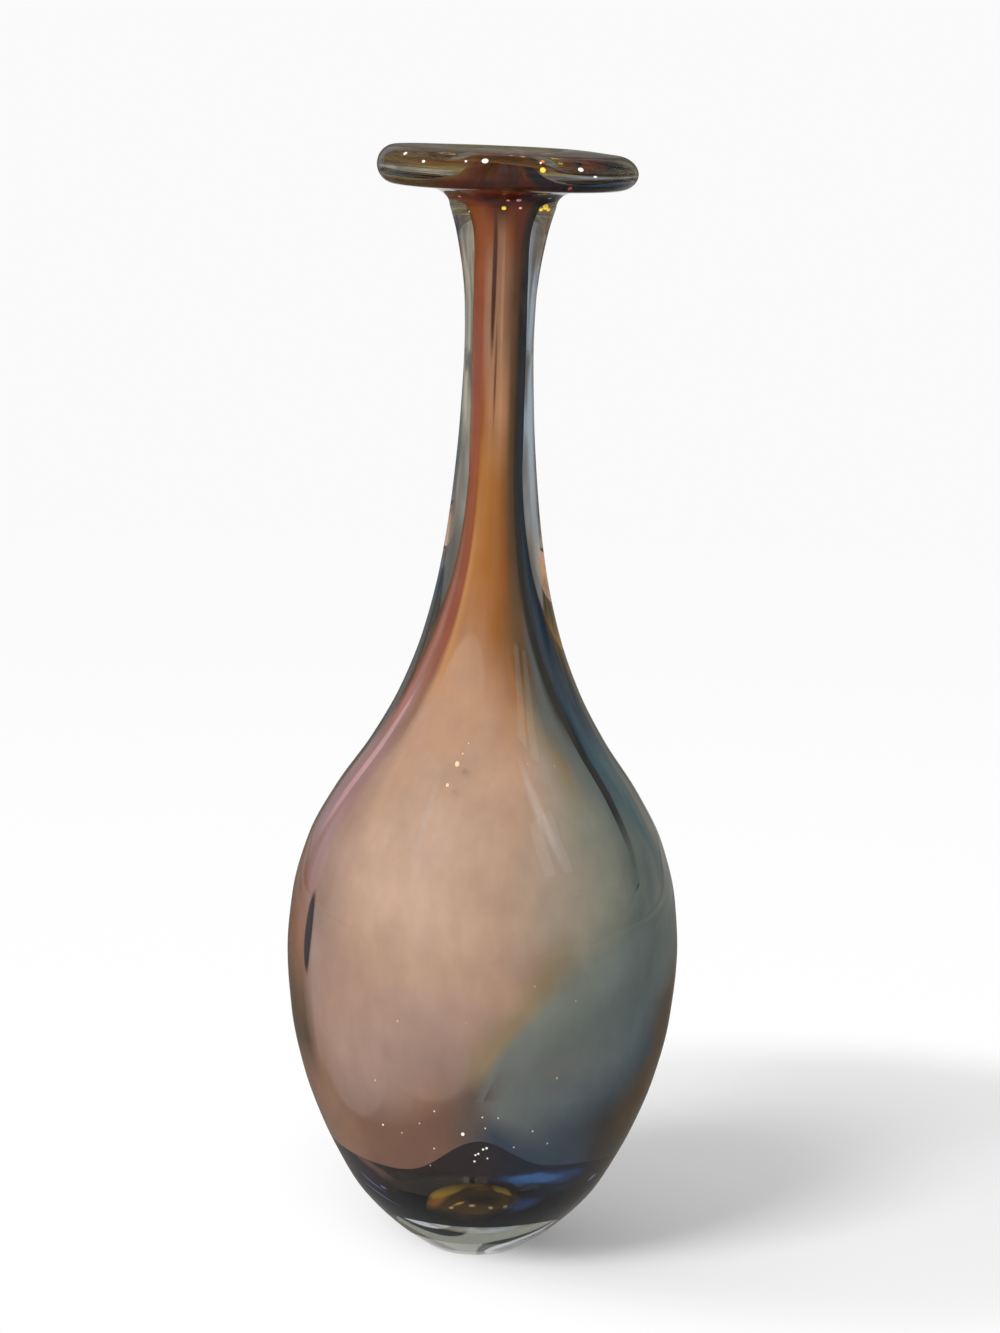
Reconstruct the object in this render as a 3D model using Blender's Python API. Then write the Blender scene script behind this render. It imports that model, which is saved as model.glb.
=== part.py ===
"""Cased art glass bottle vase, built up in the layers in which its maker gathers it.

Metres, +Z up, origin on the floor under the middle of the foot, front towards -Y.
From the hollow outwards the wall is a thin lining bubble, a mosaic of coloured overlays
with a cobalt cup and a gold button at the bottom, and a thick clear casing. A clear
wrap is laid round the mouth as the lip. Azimuths are degrees from the front, with
positive ones towards +X.
"""

import math

import bmesh
import bpy
from mathutils import Vector

# Outer shape of the clear casing
VASE_HEIGHT = 0.302
FOOT_RADIUS = 0.013
BELLY_HEIGHT = 0.084
BELLY_RADIUS = 0.0535
WAIST_RADIUS = 0.0093
NECK_FLARE_LENGTH = 0.0365
SEAM_RADIUS = 0.0143
PONTIL_RADIUS = 0.0085
PONTIL_DEPTH = 0.0008

# Height and radius shares from the foot (0, 0) to the belly (1, 1)
LOWER_BODY_SHARES = (
    (0.0, 0.0),
    (0.036, 0.112),
    (0.083, 0.238),
    (0.143, 0.372),
    (0.214, 0.500),
    (0.310, 0.620),
    (0.430, 0.745),
    (0.595, 0.874),
    (0.786, 0.964),
    (1.0, 1.0),
)
# Height share from belly (0) to waist (1), and radius share from waist (0) to belly (1)
UPPER_BODY_SHARES = (
    (0.084, 0.977),
    (0.181, 0.885),
    (0.265, 0.722),
    (0.349, 0.509),
    (0.434, 0.337),
    (0.530, 0.2045),
    (0.639, 0.111),
    (0.759, 0.051),
    (0.892, 0.0129),
    (1.0, 0.0),
)
# Height share from waist (0) to seam (1), and radius share from waist (0) to seam (1)
NECK_FLARE_SHARES = ((0.30, 0.055), (0.493, 0.190), (0.822, 0.625), (1.0, 1.0))

# Walls, measured square to the layers, and the clearance between them
CASING_BELLY_WALL = 0.0038
CASING_SHOULDER_WALL = 0.0080
CASING_SHOULDER_SHARE = 0.488
CASING_BASE_WALL = 0.0169
OVERLAY_BODY_WALL = 0.0011
OVERLAY_NECK_WALL = 0.0007
LINING_BODY_WALL = 0.0015
LINING_NECK_WALL = 0.0006
LINING_FLOOR_WALL = 0.0015
BORE_RADIUS = 0.0032
LAYER_GAP = 0.0003

# Rounded bottoms of the colour bubble and of the hollow
BUBBLE_CORNER_HEIGHT = 0.014
BUBBLE_CORNER_FULLNESS = 1.6
HOLLOW_CORNER_HEIGHT = 0.020
HOLLOW_CORNER_FULLNESS = 2.5

# Lip wrap, and the flare by which the colour and the lining run out over it
LIP_RADIUS = 0.0353
LIP_THICKNESS = 0.0104
LIP_EDGE_DEPTH = 0.0050
LIP_FLOOR_WALL = 0.0030
LIP_FILLET_WIDTH = 0.0105
LIP_FILLET_HEIGHT = 0.0051
LIP_SIDE_SHIFT = 0.0010
LIP_OVAL_WAVE = 0.0004
LIP_TOP_DROP = 0.0020
LIP_UNDERSIDE_DROP = 0.0005
COAT_INSET = 0.0038
TRUMPET_HEIGHT = 0.0326
TRUMPET_FULLNESS = 5.0
MOUTH_FULLNESS = 4.0

# Cobalt cup and gold button
CUP_DEPTH = 0.0143
CUP_PEAK_RISE = 0.0100
CUP_PEAK_DEGREES = 17.0
CUP_WAVE = 0.0012
CUP_FLOOR_SHARE = 0.45
CUP_SETTLE_HEIGHT = 0.030
BUTTON_RADIUS = 0.0088
BUTTON_THICKNESS = 0.0098
BUTTON_EDGE_THICKNESS = 0.0012

# Seams between overlays: height as a share of the vase's, and azimuth in degrees
PEACH_ROSE_SEAM_SHARES = (
    (0.0, -60.0),
    (0.33, -62.0),
    (0.50, -60.0),
    (0.60, -55.0),
    (0.75, -50.0),
    (1.0, -48.0),
)
ROSE_OLIVE_SEAM_SHARES = ((0.0, -90.0), (0.45, -90.0), (0.60, -95.0), (1.0, -100.0))
OLIVE_AMBER_SEAM_SHARES = ((0.0, -128.0), (1.0, -128.0))
AMBER_UMBER_SEAM_SHARES = ((0.0, -188.0), (0.4, -180.0), (1.0, -185.0))
UMBER_TEAL_SEAM_SHARES = ((0.0, 132.0), (0.5, 124.0), (1.0, 126.0))
PEACH_RIGHT_SEAM_SHARES = (
    (0.0, -4.0),
    (0.13, -4.0),
    (0.175, -2.0),
    (0.205, 1.0),
    (0.27, 16.0),
    (0.335, 27.0),
    (0.45, 32.0),
    (0.55, 35.0),
    (1.0, 38.0),
)
SMOKE_RIGHT_SEAM_SHARES = (
    (0.3575, 58.0),
    (0.42, 59.0),
    (0.48, 58.0),
    (0.54, 56.0),
    (0.60, 53.0),
    (0.67, 50.0),
    (1.0, 48.0),
)
# The trail's and the ink's widths in degrees by height share
TRAIL_WIDTH_SHARES = (
    (0.0, 2.5),
    (0.165, 4.0),
    (0.25, 7.0),
    (0.30, 14.0),
    (0.335, 24.0),
    (0.355, 30.5),
)
INK_WIDTH_SHARES = (
    (0.3575, 2.0),
    (0.42, 5.0),
    (0.50, 8.0),
    (0.60, 11.0),
    (0.67, 15.0),
    (1.0, 20.0),
)
TRAIL_START_SHARE = 0.165
TRAIL_END_SHARE = 0.355
SMOKE_START_SHARE = 0.3575
OVERLAY_SEAM_GAP = 0.0004

# Mesh fineness, in counts and shares
AROUND = 32
COLUMN_DEGREES = 12.0
FOOT_RING_SHARES = (0.0, 0.018, 0.048, 0.09, 0.145, 0.21, 0.29, 0.38, 0.49, 0.61, 0.73, 0.86)
UPPER_RING_SHARES = (0.0, 0.05, 0.10, 0.15, 0.20, 0.26, 0.32, 0.39, 0.47, 0.56, 0.66, 0.77, 0.89)
CORNER_RING_SHARES = (0.2, 0.4, 0.58, 0.72, 0.83, 0.91, 0.965)
CUP_RING_SHARES = (0.0, 0.1, 0.2, 0.3, 0.4, 0.5, 0.6, 0.8, 1.0)
BUTTON_RING_SHARES = (0.0, 0.3, 0.55, 0.75, 0.9, 1.0)
LOWER_RINGS = 7
FLARE_RINGS = 5
TRUMPET_RINGS = 7
EDGE_STEPS = 8
FILLET_STEPS = 4
LEAST_RING_STEP = 0.003
SHARP_DEGREES = 50.0
GLASS_IOR = 1.5

# Heights and radii that follow from the sizes above
lip_underside = VASE_HEIGHT - LIP_THICKNESS
seam_height = lip_underside - LIP_FILLET_HEIGHT
waist_height = seam_height - NECK_FLARE_LENGTH
shoulder_height = BELLY_HEIGHT + CASING_SHOULDER_SHARE * (waist_height - BELLY_HEIGHT)
disc_height = lip_underside + LIP_FLOOR_WALL
trumpet_start = disc_height - TRUMPET_HEIGHT
coat_radius = LIP_RADIUS - COAT_INSET
edge_centre_radius = LIP_RADIUS - LIP_EDGE_DEPTH
casing_top = seam_height - LAYER_GAP
bubble_floor = CASING_BASE_WALL + LAYER_GAP
bubble_corner_top = bubble_floor + BUBBLE_CORNER_HEIGHT
cup_rim_height = bubble_floor + CUP_DEPTH
button_seat = bubble_floor + OVERLAY_BODY_WALL + LAYER_GAP
hollow_floor = button_seat + BUTTON_THICKNESS + LAYER_GAP + LINING_FLOOR_WALL
hollow_corner_top = hollow_floor + HOLLOW_CORNER_HEIGHT
core_neck_radius = BORE_RADIUS + LINING_NECK_WALL + LAYER_GAP + OVERLAY_NECK_WALL


def between(low, high, share):
    return low + (high - low) * share


def spaced(low, high, count):
    return [between(low, high, i / count) for i in range(count)]


def eased(x, low, high):
    """0 below low, 1 above high, and a smooth rise between them."""
    t = min(max((x - low) / (high - low), 0.0), 1.0)
    return t * t * (3 - 2 * t)


def smooth_curve(points):
    """A curve through the points with no overshoot, as a function of their first value."""
    xs = [p[0] for p in points]
    ys = [p[1] for p in points]
    steps = [(ys[i + 1] - ys[i]) / (xs[i + 1] - xs[i]) for i in range(len(xs) - 1)]
    slopes = [steps[0]]
    for before, after in zip(steps, steps[1:]):
        turns_back = before * after <= 0
        slopes.append(0.0 if turns_back else 2 * before * after / (before + after))
    slopes.append(steps[-1])

    def value(x):
        x = min(max(x, xs[0]), xs[-1])
        i = max(k for k in range(len(xs) - 1) if xs[k] <= x)
        width = xs[i + 1] - xs[i]
        t = (x - xs[i]) / width
        rise = ys[i + 1] - ys[i]
        start, end = slopes[i] * width, slopes[i + 1] * width
        bend = start + end - 2 * rise
        return ys[i] + t * (start + t * (3 * rise - 2 * start - end + t * bend))

    return value


def skin_profile():
    """The casing's outer radius by height, from the foot to the lip wrap's seam."""
    points = [
        (BELLY_HEIGHT * up, between(FOOT_RADIUS, BELLY_RADIUS, out))
        for up, out in LOWER_BODY_SHARES
    ]
    points += [
        (between(BELLY_HEIGHT, waist_height, up), between(WAIST_RADIUS, BELLY_RADIUS, out))
        for up, out in UPPER_BODY_SHARES
    ]
    points += [
        (between(waist_height, seam_height, up), between(WAIST_RADIUS, SEAM_RADIUS, out))
        for up, out in NECK_FLARE_SHARES
    ]
    return smooth_curve(points)


skin_radius = skin_profile()
casing_wall = smooth_curve(
    (
        (0.0, CASING_BELLY_WALL),
        (BELLY_HEIGHT, CASING_BELLY_WALL),
        (shoulder_height, CASING_SHOULDER_WALL),
        (waist_height, WAIST_RADIUS - core_neck_radius),
    )
)


def wall_radius(height):
    """Radius of the colour bubble's outside between its rounded bottom and the trumpet."""
    if height >= waist_height:
        return core_neck_radius
    return max(skin_radius(height) - casing_wall(height), core_neck_radius)


def core_radius(height):
    """Radius of the colour bubble's outside, with its rounded bottom."""
    below = max(bubble_corner_top - height, 0.0) / (bubble_corner_top - bubble_floor)
    return wall_radius(height) * math.sqrt(max(1 - below**BUBBLE_CORNER_FULLNESS, 0.0))


def rounded_bottom(floor, corner_top, radius_at, fullness):
    """Section of a bubble's rounded bottom, from the axis to just below its corner's top."""
    section = [(0.0, floor)]
    for share in CORNER_RING_SHARES:
        turn = 0.5 * math.pi * share
        drop = (corner_top - floor) * math.cos(turn) ** (2 / fullness)
        height = corner_top - drop
        section.append((radius_at(height) * math.sin(turn), height))
    return section


def flare(start_radius, end_radius, end_height, fullness):
    """Section of a flare that leaves the neck upright and ends level."""
    section = []
    for i in range(1, TRUMPET_RINGS + 1):
        turn = 0.5 * math.pi * i / TRUMPET_RINGS
        out = 1 - math.cos(turn) ** (2 / fullness) if i < TRUMPET_RINGS else 1.0
        up = math.sin(turn) ** (2 / fullness)
        radius = between(start_radius, end_radius, out)
        section.append((radius, between(trumpet_start, end_height, up)))
    return section


def wall_heights(lowest):
    """Ring heights that all layers share, from a height up to the trumpet's start."""
    special = [VASE_HEIGHT * s for s in (TRAIL_START_SHARE, TRAIL_END_SHARE, SMOKE_START_SHARE)]
    plain = spaced(lowest, BELLY_HEIGHT, LOWER_RINGS)
    plain += [between(BELLY_HEIGHT, trumpet_start, share) for share in UPPER_RING_SHARES]
    kept = [h for h in plain[1:] if min(abs(h - s) for s in special) > LEAST_RING_STEP]
    return [lowest] + sorted(kept + special) + [trumpet_start]


def core_section():
    """Section of the colour bubble's outside, from the axis to the coat's rim."""
    corner = (bubble_floor, bubble_corner_top, wall_radius, BUBBLE_CORNER_FULLNESS)
    section = rounded_bottom(*corner)
    section += [(wall_radius(h), h) for h in wall_heights(bubble_corner_top)]
    return section + flare(core_neck_radius, coat_radius, disc_height, TRUMPET_FULLNESS)


def inwards(section, depth_at):
    """The section moved inwards, square to itself, by a depth that varies with height."""
    moved = []
    last = len(section) - 1
    for i, (radius, height) in enumerate(section):
        before, after = section[max(i - 1, 0)], section[min(i + 1, last)]
        along = Vector((after[0] - before[0], after[1] - before[1])).normalized()
        depth = depth_at(height)
        if radius == 0.0:
            moved.append((0.0, height + depth))
        elif i == last:
            moved.append((radius, height + depth))
        else:
            moved.append((radius - along.y * depth, height + along.x * depth))
    return moved


def neckward(height, body_value, neck_value):
    """A wall that thins from its body value to its neck value between belly and waist."""
    return between(body_value, neck_value, eased(height, BELLY_HEIGHT, waist_height))


def clear_of_core(height):
    return -LAYER_GAP


def clear_of_button(height):
    return LAYER_GAP


def overlay_depth(height):
    return neckward(height, OVERLAY_BODY_WALL, OVERLAY_NECK_WALL)


def lining_depth(height):
    return overlay_depth(height) + LAYER_GAP


def hollow_depth(height):
    return lining_depth(height) + neckward(height, LINING_BODY_WALL, LINING_NECK_WALL)


def under_core(height, depth):
    """The point that lies a depth square under the colour bubble's outside."""
    step = LAYER_GAP
    slope = (core_radius(height + step) - core_radius(height - step)) / (2 * step)
    length = math.hypot(1.0, slope)
    return core_radius(height) - depth / length, height + depth * slope / length


def radius_on(section, height):
    """The section's radius where it crosses a height."""
    for low, high in zip(section, section[1:]):
        if low[1] <= height <= high[1]:
            return between(low[0], high[0], (height - low[1]) / (high[1] - low[1]))
    return section[-1][0]


def height_on(section, radius):
    """The section's height where it crosses a radius near the axis."""
    for low, high in zip(section, section[1:]):
        if low[0] <= radius <= high[0]:
            return between(low[1], high[1], (radius - low[0]) / (high[0] - low[0]))
    return section[-1][1]


def placed(radius, height, degrees):
    """A point of a section on its azimuth, with the lip's hand-made unevenness."""
    turn = math.radians(degrees)
    side = math.sin(turn)
    spread = eased(radius, SEAM_RADIUS, LIP_RADIUS) * eased(height, waist_height, seam_height)
    rise = eased(height, lip_underside, VASE_HEIGHT)
    radius += spread * (LIP_SIDE_SHIFT * side + LIP_OVAL_WAVE * math.cos(2 * turn))
    height -= spread * between(LIP_UNDERSIDE_DROP, LIP_TOP_DROP, rise) * (1 + side) / 2
    return Vector((radius * side, -radius * math.cos(turn), height))


def ring(point, angles, holds=False):
    """A ring of a section point at these azimuths, or the point alone on the axis.

    With holds its straight sides touch the circle from outside, not its corners from
    inside, so that a facet doesn't cut into the round layer that the ring holds.
    """
    radius, height = point
    if radius == 0.0:
        return [placed(0.0, height, 0.0)]
    step = math.radians(angles[1] - angles[0])
    if holds:
        radius /= math.cos(step / 2)
    return [placed(radius, height, a) for a in angles]


def all_round():
    return [360.0 * i / AROUND for i in range(AROUND)]


def round_rings(section, holds=False):
    angles = all_round()
    return [ring(point, angles, holds) for point in section]


def solid_from_rings(name, rings, material, sector=False, looped=False):
    """A closed solid whose skin runs over the rings in order.

    A sector's rings stay open, and its two sides are closed with faces across the
    section. looped joins the last ring to the first.
    """
    shape = bmesh.new()
    corners = [[shape.verts.new(p) for p in points] for points in rings]
    pairs = list(zip(corners, corners[1:]))
    if looped:
        pairs.append((corners[-1], corners[0]))
    for low, high in pairs:
        count = max(len(low), len(high))
        for i in range(count - 1 if sector else count):
            j = (i + 1) % count
            below = (low[i % len(low)], low[j % len(low)])
            above = (high[j % len(high)], high[i % len(high)])
            shape.faces.new(list(dict.fromkeys(below + above)))
    if sector:
        for side in (0, -1):
            for i in range(len(corners) // 2 - 1):
                outer = (corners[i][side], corners[i + 1][side])
                inner = (corners[-2 - i][side], corners[-1 - i][side])
                shape.faces.new(outer + inner)
    bmesh.ops.recalc_face_normals(shape, faces=shape.faces)
    mesh = bpy.data.meshes.new(name)
    shape.to_mesh(mesh)
    shape.free()
    mesh.shade_smooth()
    mesh.set_sharp_from_angle(angle=math.radians(SHARP_DEGREES))
    made = bpy.data.objects.new(name, mesh)
    bpy.context.scene.collection.objects.link(made)
    made.data.materials.append(material)
    made.parent = vase_axis


def glass(name, colour, roughness, clearness):
    """A glass finish: its colour, its polish and the share of light that it lets through."""
    material = bpy.data.materials.new(name)
    material.use_nodes = True
    shader = material.node_tree.nodes["Principled BSDF"]
    shader.inputs["Base Color"].default_value = (*colour, 1.0)
    shader.inputs["Roughness"].default_value = roughness
    shader.inputs["Metallic"].default_value = 0.0
    shader.inputs["Transmission Weight"].default_value = clearness
    shader.inputs["IOR"].default_value = GLASS_IOR
    return material


def crystal_casing():
    """Outer clear gather: heavy base, body and neck, open under the lip wrap."""
    outside = [(0.0, PONTIL_DEPTH), (PONTIL_RADIUS, 0.0)]
    heights = [BELLY_HEIGHT * share for share in FOOT_RING_SHARES]
    heights += [between(BELLY_HEIGHT, waist_height, share) for share in UPPER_RING_SHARES]
    heights += spaced(waist_height, casing_top, FLARE_RINGS)
    outside += [(skin_radius(h), h) for h in heights + [casing_top]]
    inner_wall = inwards(core_section(), clear_of_core)
    inside = [p for p in inner_wall if p[1] < casing_top]
    inside.append((radius_on(inner_wall, casing_top), casing_top))
    rings = round_rings(outside) + round_rings(inside, holds=True)[::-1]
    solid_from_rings("crystal_casing", rings, clear_crystal)


def edge_point(turn):
    """The lip's rounded edge, from its underside at -90 degrees to its top at 90."""
    half = LIP_THICKNESS / 2
    radius = edge_centre_radius + LIP_EDGE_DEPTH * math.cos(turn)
    return radius, lip_underside + half + half * math.sin(turn)


def edge_turn(radius):
    """Where, on its upper half, the lip's rounded edge has a radius."""
    return math.acos((radius - edge_centre_radius) / LIP_EDGE_DEPTH)


def lip_wrap():
    """Clear bit wrapped round the mouth: fillet, underside and rounded edge."""
    outside = []
    width = min(LIP_FILLET_WIDTH, edge_centre_radius - SEAM_RADIUS)
    for i in range(FILLET_STEPS + 1):
        turn = 0.5 * math.pi * i / FILLET_STEPS
        radius = SEAM_RADIUS + width * (1 - math.cos(turn))
        outside.append((radius, seam_height + LIP_FILLET_HEIGHT * math.sin(turn)))
    seat = coat_radius + LAYER_GAP
    turns = spaced(-0.5 * math.pi, edge_turn(seat), EDGE_STEPS) + [edge_turn(seat)]
    outside += [edge_point(turn) for turn in turns]
    trumpet_wall = inwards(core_section(), clear_of_core)
    inside = [(radius_on(trumpet_wall, seam_height), seam_height)]
    inside += [p for p in trumpet_wall if p[1] > seam_height and p[0] < coat_radius]
    inside.append((seat, trumpet_wall[-1][1]))
    rings = round_rings(outside) + round_rings(inside, holds=True)[::-1]
    solid_from_rings("lip_wrap", rings, clear_crystal, looped=True)


def button_top():
    """Domed top of the gold button, from the axis to its edge."""
    floor = inwards(core_section(), lining_depth)
    section = []
    for share in BUTTON_RING_SHARES:
        radius = BUTTON_RADIUS * share
        dome = math.sqrt(1 - share**2)
        thickness = between(BUTTON_EDGE_THICKNESS, BUTTON_THICKNESS, dome)
        section.append((radius, height_on(floor, radius) + thickness))
    return section


def gold_button():
    """Thick drop of gold glass on the cup's floor, let into the lining's underside."""
    floor = inwards(core_section(), lining_depth)
    radii = [BUTTON_RADIUS * share for share in BUTTON_RING_SHARES]
    under = [(radius, height_on(floor, radius)) for radius in radii]
    rings = round_rings(under) + round_rings(button_top())[::-1]
    solid_from_rings("gold_button", rings, gold_glass)


def hollow_section():
    """Section of the hollow: rounded floor, body, bore and the open mouth."""
    wall = inwards(core_section(), hollow_depth)
    wall = [p for p in wall if bubble_corner_top < p[1] < trumpet_start]
    wall = [(max(radius, BORE_RADIUS), height) for radius, height in wall]
    wall_at = smooth_curve([(height, radius) for radius, height in wall])
    corner = (hollow_floor, hollow_corner_top, wall_at, HOLLOW_CORNER_FULLNESS)
    section = rounded_bottom(*corner)
    section.append((wall_at(hollow_corner_top), hollow_corner_top))
    section += [p for p in wall if p[1] > hollow_corner_top + LEAST_RING_STEP]
    section.append((BORE_RADIUS, trumpet_start))
    section += flare(BORE_RADIUS, edge_centre_radius, VASE_HEIGHT, MOUTH_FULLNESS)
    coat_turn = edge_turn(coat_radius)
    section.append(edge_point(between(0.5 * math.pi, coat_turn, 0.5)))
    section.append(edge_point(coat_turn))
    return section


def bubble_lining():
    """Innermost bubble: it holds the hollow and flares into the top coat of the lip."""
    floor = inwards(core_section(), lining_depth)
    button_side = button_top() + [(BUTTON_RADIUS, height_on(floor, BUTTON_RADIUS))]
    recess = inwards(button_side, clear_of_button)[:-1]
    recess_radius = BUTTON_RADIUS + LAYER_GAP
    recess.append((recess_radius, height_on(floor, recess_radius)))
    past_recess = next(i for i, p in enumerate(floor) if p[0] > recess_radius)
    outside = recess + floor[past_recess:]
    rings = round_rings(outside) + round_rings(hollow_section())[::-1]
    solid_from_rings("bubble_lining", rings, lining_glass)


def cup_rim(degrees):
    """Height of the cobalt cup's uneven rim, which peaks at the front."""
    away = (degrees + 180.0) % 360.0 - 180.0
    peak = CUP_PEAK_RISE * math.exp(-((away / CUP_PEAK_DEGREES) ** 2))
    return cup_rim_height + peak + CUP_WAVE * math.sin(math.radians(3 * degrees))


def cobalt_cup():
    """Cup of cobalt glass round the colour bubble's bottom, below the other overlays."""
    start = between(bubble_floor, bubble_corner_top, CUP_FLOOR_SHARE)
    section = core_section()
    floor = [p for p in section if p[1] < start]
    floor_inside = inwards(section, overlay_depth)[: len(floor)]
    angles = all_round()
    outside = round_rings(floor)
    inside = round_rings(floor_inside, holds=True)
    widened = 1 / math.cos(math.pi / AROUND)
    for share in CUP_RING_SHARES:
        outer_ring = []
        inner_ring = []
        for degrees in angles:
            height = between(start, cup_rim(degrees), share)
            radius, inner_height = under_core(height, OVERLAY_BODY_WALL)
            outer_ring.append(placed(core_radius(height), height, degrees))
            inner_ring.append(placed(radius * widened, inner_height, degrees))
        outside.append(outer_ring)
        inside.append(inner_ring)
    solid_from_rings("cobalt_cup", outside + inside[::-1], cobalt_glass)


def overlay(name, material, low_side, high_side, start_share=0.0, end_share=1.0):
    """A patch of coloured glass in the layer between casing and lining.

    low_side and high_side give its edges' azimuths by height share. It starts on the
    cup's rim, or at a higher start, and runs to the coat's rim, or to a lower end.
    """
    section = [(wall_radius(h), h) for h in wall_heights(cup_rim_height)]
    section += flare(core_neck_radius, coat_radius, disc_height, TRUMPET_FULLNESS)
    insides = inwards(section, overlay_depth)
    slack = LAYER_GAP / VASE_HEIGHT
    low_end, high_end = start_share - slack, end_share + slack
    shares = [height / VASE_HEIGHT for radius, height in section]
    used = [i for i, share in enumerate(shares) if low_end <= share <= high_end]
    widest = max(high_side(shares[i]) - low_side(shares[i]) for i in used)
    columns = max(math.ceil(widest / COLUMN_DEGREES), 1)
    settled = cup_rim_height + CUP_SETTLE_HEIGHT
    outer_rings = []
    inner_rings = []
    for i in used:
        (radius, height), inner = section[i], insides[i]
        half_gap = math.degrees(OVERLAY_SEAM_GAP / 2 / radius)
        low, high = low_side(shares[i]) + half_gap, high_side(shares[i]) - half_gap
        angles = [between(low, high, k / columns) for k in range(columns + 1)]
        if height >= settled:
            outer_rings.append(ring((radius, height), angles))
            inner_rings.append(ring(inner, angles, holds=True))
            continue
        widened = 1 / math.cos(math.radians(high - low) / columns / 2)
        outer_ring = []
        inner_ring = []
        for degrees in angles:
            left = 1 - eased(height, cup_rim_height, settled)
            lifted = height + left * (cup_rim(degrees) + LAYER_GAP - cup_rim_height)
            inner_radius, inner_height = under_core(lifted, OVERLAY_BODY_WALL)
            outer_ring.append(placed(core_radius(lifted), lifted, degrees))
            inner_ring.append(placed(inner_radius * widened, inner_height, degrees))
        outer_rings.append(outer_ring)
        inner_rings.append(inner_ring)
    rings = outer_rings + inner_rings[::-1]
    solid_from_rings(name, rings, material, sector=True, looped=True)


def full_turn_on(side):
    return lambda share: side(share) + 360.0


def sum_of(*sides):
    return lambda share: sum(side(share) for side in sides)


def teal_left(share):
    """The teal overlay's left edge: the trail's seam below, the ink thread's above."""
    above = eased(share, TRAIL_END_SHARE, SMOKE_START_SHARE)
    return between(trail_right(share), ink_right(share), above)


for old in list(bpy.data.objects):
    bpy.data.objects.remove(old)

vase_axis = bpy.data.objects.new("vase_axis", None)
bpy.context.scene.collection.objects.link(vase_axis)

clear_crystal = glass("clear_crystal", (0.93, 0.95, 0.94), 0.02, 1.0)
lining_glass = glass("lining_glass", (0.90, 0.80, 0.62), 0.03, 0.9)
cobalt_glass = glass("cobalt_glass", (0.035, 0.045, 0.16), 0.05, 0.3)
gold_glass = glass("gold_glass", (0.72, 0.48, 0.06), 0.08, 0.2)
peach_glass = glass("peach_glass", (0.62, 0.38, 0.24), 0.12, 0.2)
rose_glass = glass("rose_glass", (0.55, 0.22, 0.18), 0.12, 0.2)
olive_glass = glass("olive_glass", (0.25, 0.20, 0.07), 0.12, 0.3)
amber_glass = glass("amber_glass", (0.58, 0.33, 0.10), 0.12, 0.3)
umber_glass = glass("umber_glass", (0.28, 0.17, 0.08), 0.12, 0.3)
teal_glass = glass("teal_glass", (0.10, 0.17, 0.20), 0.12, 0.2)
smoke_glass = glass("smoke_glass", (0.25, 0.22, 0.16), 0.12, 0.2)
ink_glass = glass("ink_glass", (0.03, 0.03, 0.035), 0.10, 0.1)
trail_glass = glass("trail_glass", (0.50, 0.33, 0.10), 0.12, 0.2)

crystal_casing()
lip_wrap()
bubble_lining()
cobalt_cup()
gold_button()

rose_right = smooth_curve(PEACH_ROSE_SEAM_SHARES)
rose_left = smooth_curve(ROSE_OLIVE_SEAM_SHARES)
olive_left = smooth_curve(OLIVE_AMBER_SEAM_SHARES)
amber_left = smooth_curve(AMBER_UMBER_SEAM_SHARES)
teal_right = smooth_curve(UMBER_TEAL_SEAM_SHARES)
peach_right = smooth_curve(PEACH_RIGHT_SEAM_SHARES)
trail_right = sum_of(peach_right, smooth_curve(TRAIL_WIDTH_SHARES))
smoke_right = smooth_curve(SMOKE_RIGHT_SEAM_SHARES)
ink_right = sum_of(smoke_right, smooth_curve(INK_WIDTH_SHARES))

overlay("peach_overlay", peach_glass, rose_right, peach_right)
overlay("rose_overlay", rose_glass, rose_left, rose_right)
overlay("olive_overlay", olive_glass, olive_left, rose_left)
overlay("amber_overlay", amber_glass, amber_left, olive_left)
overlay("umber_overlay", umber_glass, teal_right, full_turn_on(amber_left))
overlay("teal_overlay", teal_glass, teal_left, teal_right)
overlay("gold_trail", trail_glass, peach_right, trail_right, TRAIL_START_SHARE, TRAIL_END_SHARE)
overlay("smoke_overlay", smoke_glass, peach_right, smoke_right, SMOKE_START_SHARE)
overlay("ink_thread", ink_glass, smoke_right, ink_right, SMOKE_START_SHARE)
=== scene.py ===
"""Cased art glass bottle vase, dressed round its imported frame.

Metres, +Z up, front towards -Y. Azimuths are degrees from the front, with positive ones
towards +X. The script follows the vase from its clear outer gather inwards, and ends with
the studio that it stands in.
"""

import math

import bmesh
import bpy
from mathutils import Matrix, Vector


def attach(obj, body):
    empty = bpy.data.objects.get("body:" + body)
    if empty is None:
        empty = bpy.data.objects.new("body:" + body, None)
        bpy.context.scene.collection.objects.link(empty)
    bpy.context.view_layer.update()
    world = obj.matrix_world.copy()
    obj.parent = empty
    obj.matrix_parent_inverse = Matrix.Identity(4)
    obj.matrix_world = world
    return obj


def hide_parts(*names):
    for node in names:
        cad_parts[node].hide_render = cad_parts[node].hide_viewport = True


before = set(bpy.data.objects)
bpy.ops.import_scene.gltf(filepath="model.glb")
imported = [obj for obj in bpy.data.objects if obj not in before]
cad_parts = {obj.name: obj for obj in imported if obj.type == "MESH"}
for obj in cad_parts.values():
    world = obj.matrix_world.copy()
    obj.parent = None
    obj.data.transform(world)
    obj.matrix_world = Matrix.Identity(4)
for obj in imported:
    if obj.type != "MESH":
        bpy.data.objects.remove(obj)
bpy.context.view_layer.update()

# Crystal casing: the thick clear outer gather, with a heavy base and a wall that follows
# the colour bubble up to the neck. It is fire polished, with a ground pontil mark under
# the foot. Its inner face is fused to the colour, so light doesn't bend there.
VASE_HEIGHT = 0.302
FOOT_RADIUS = 0.013
BELLY_HEIGHT = 0.084
BELLY_RADIUS = 0.0535
WAIST_RADIUS = 0.0093
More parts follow.
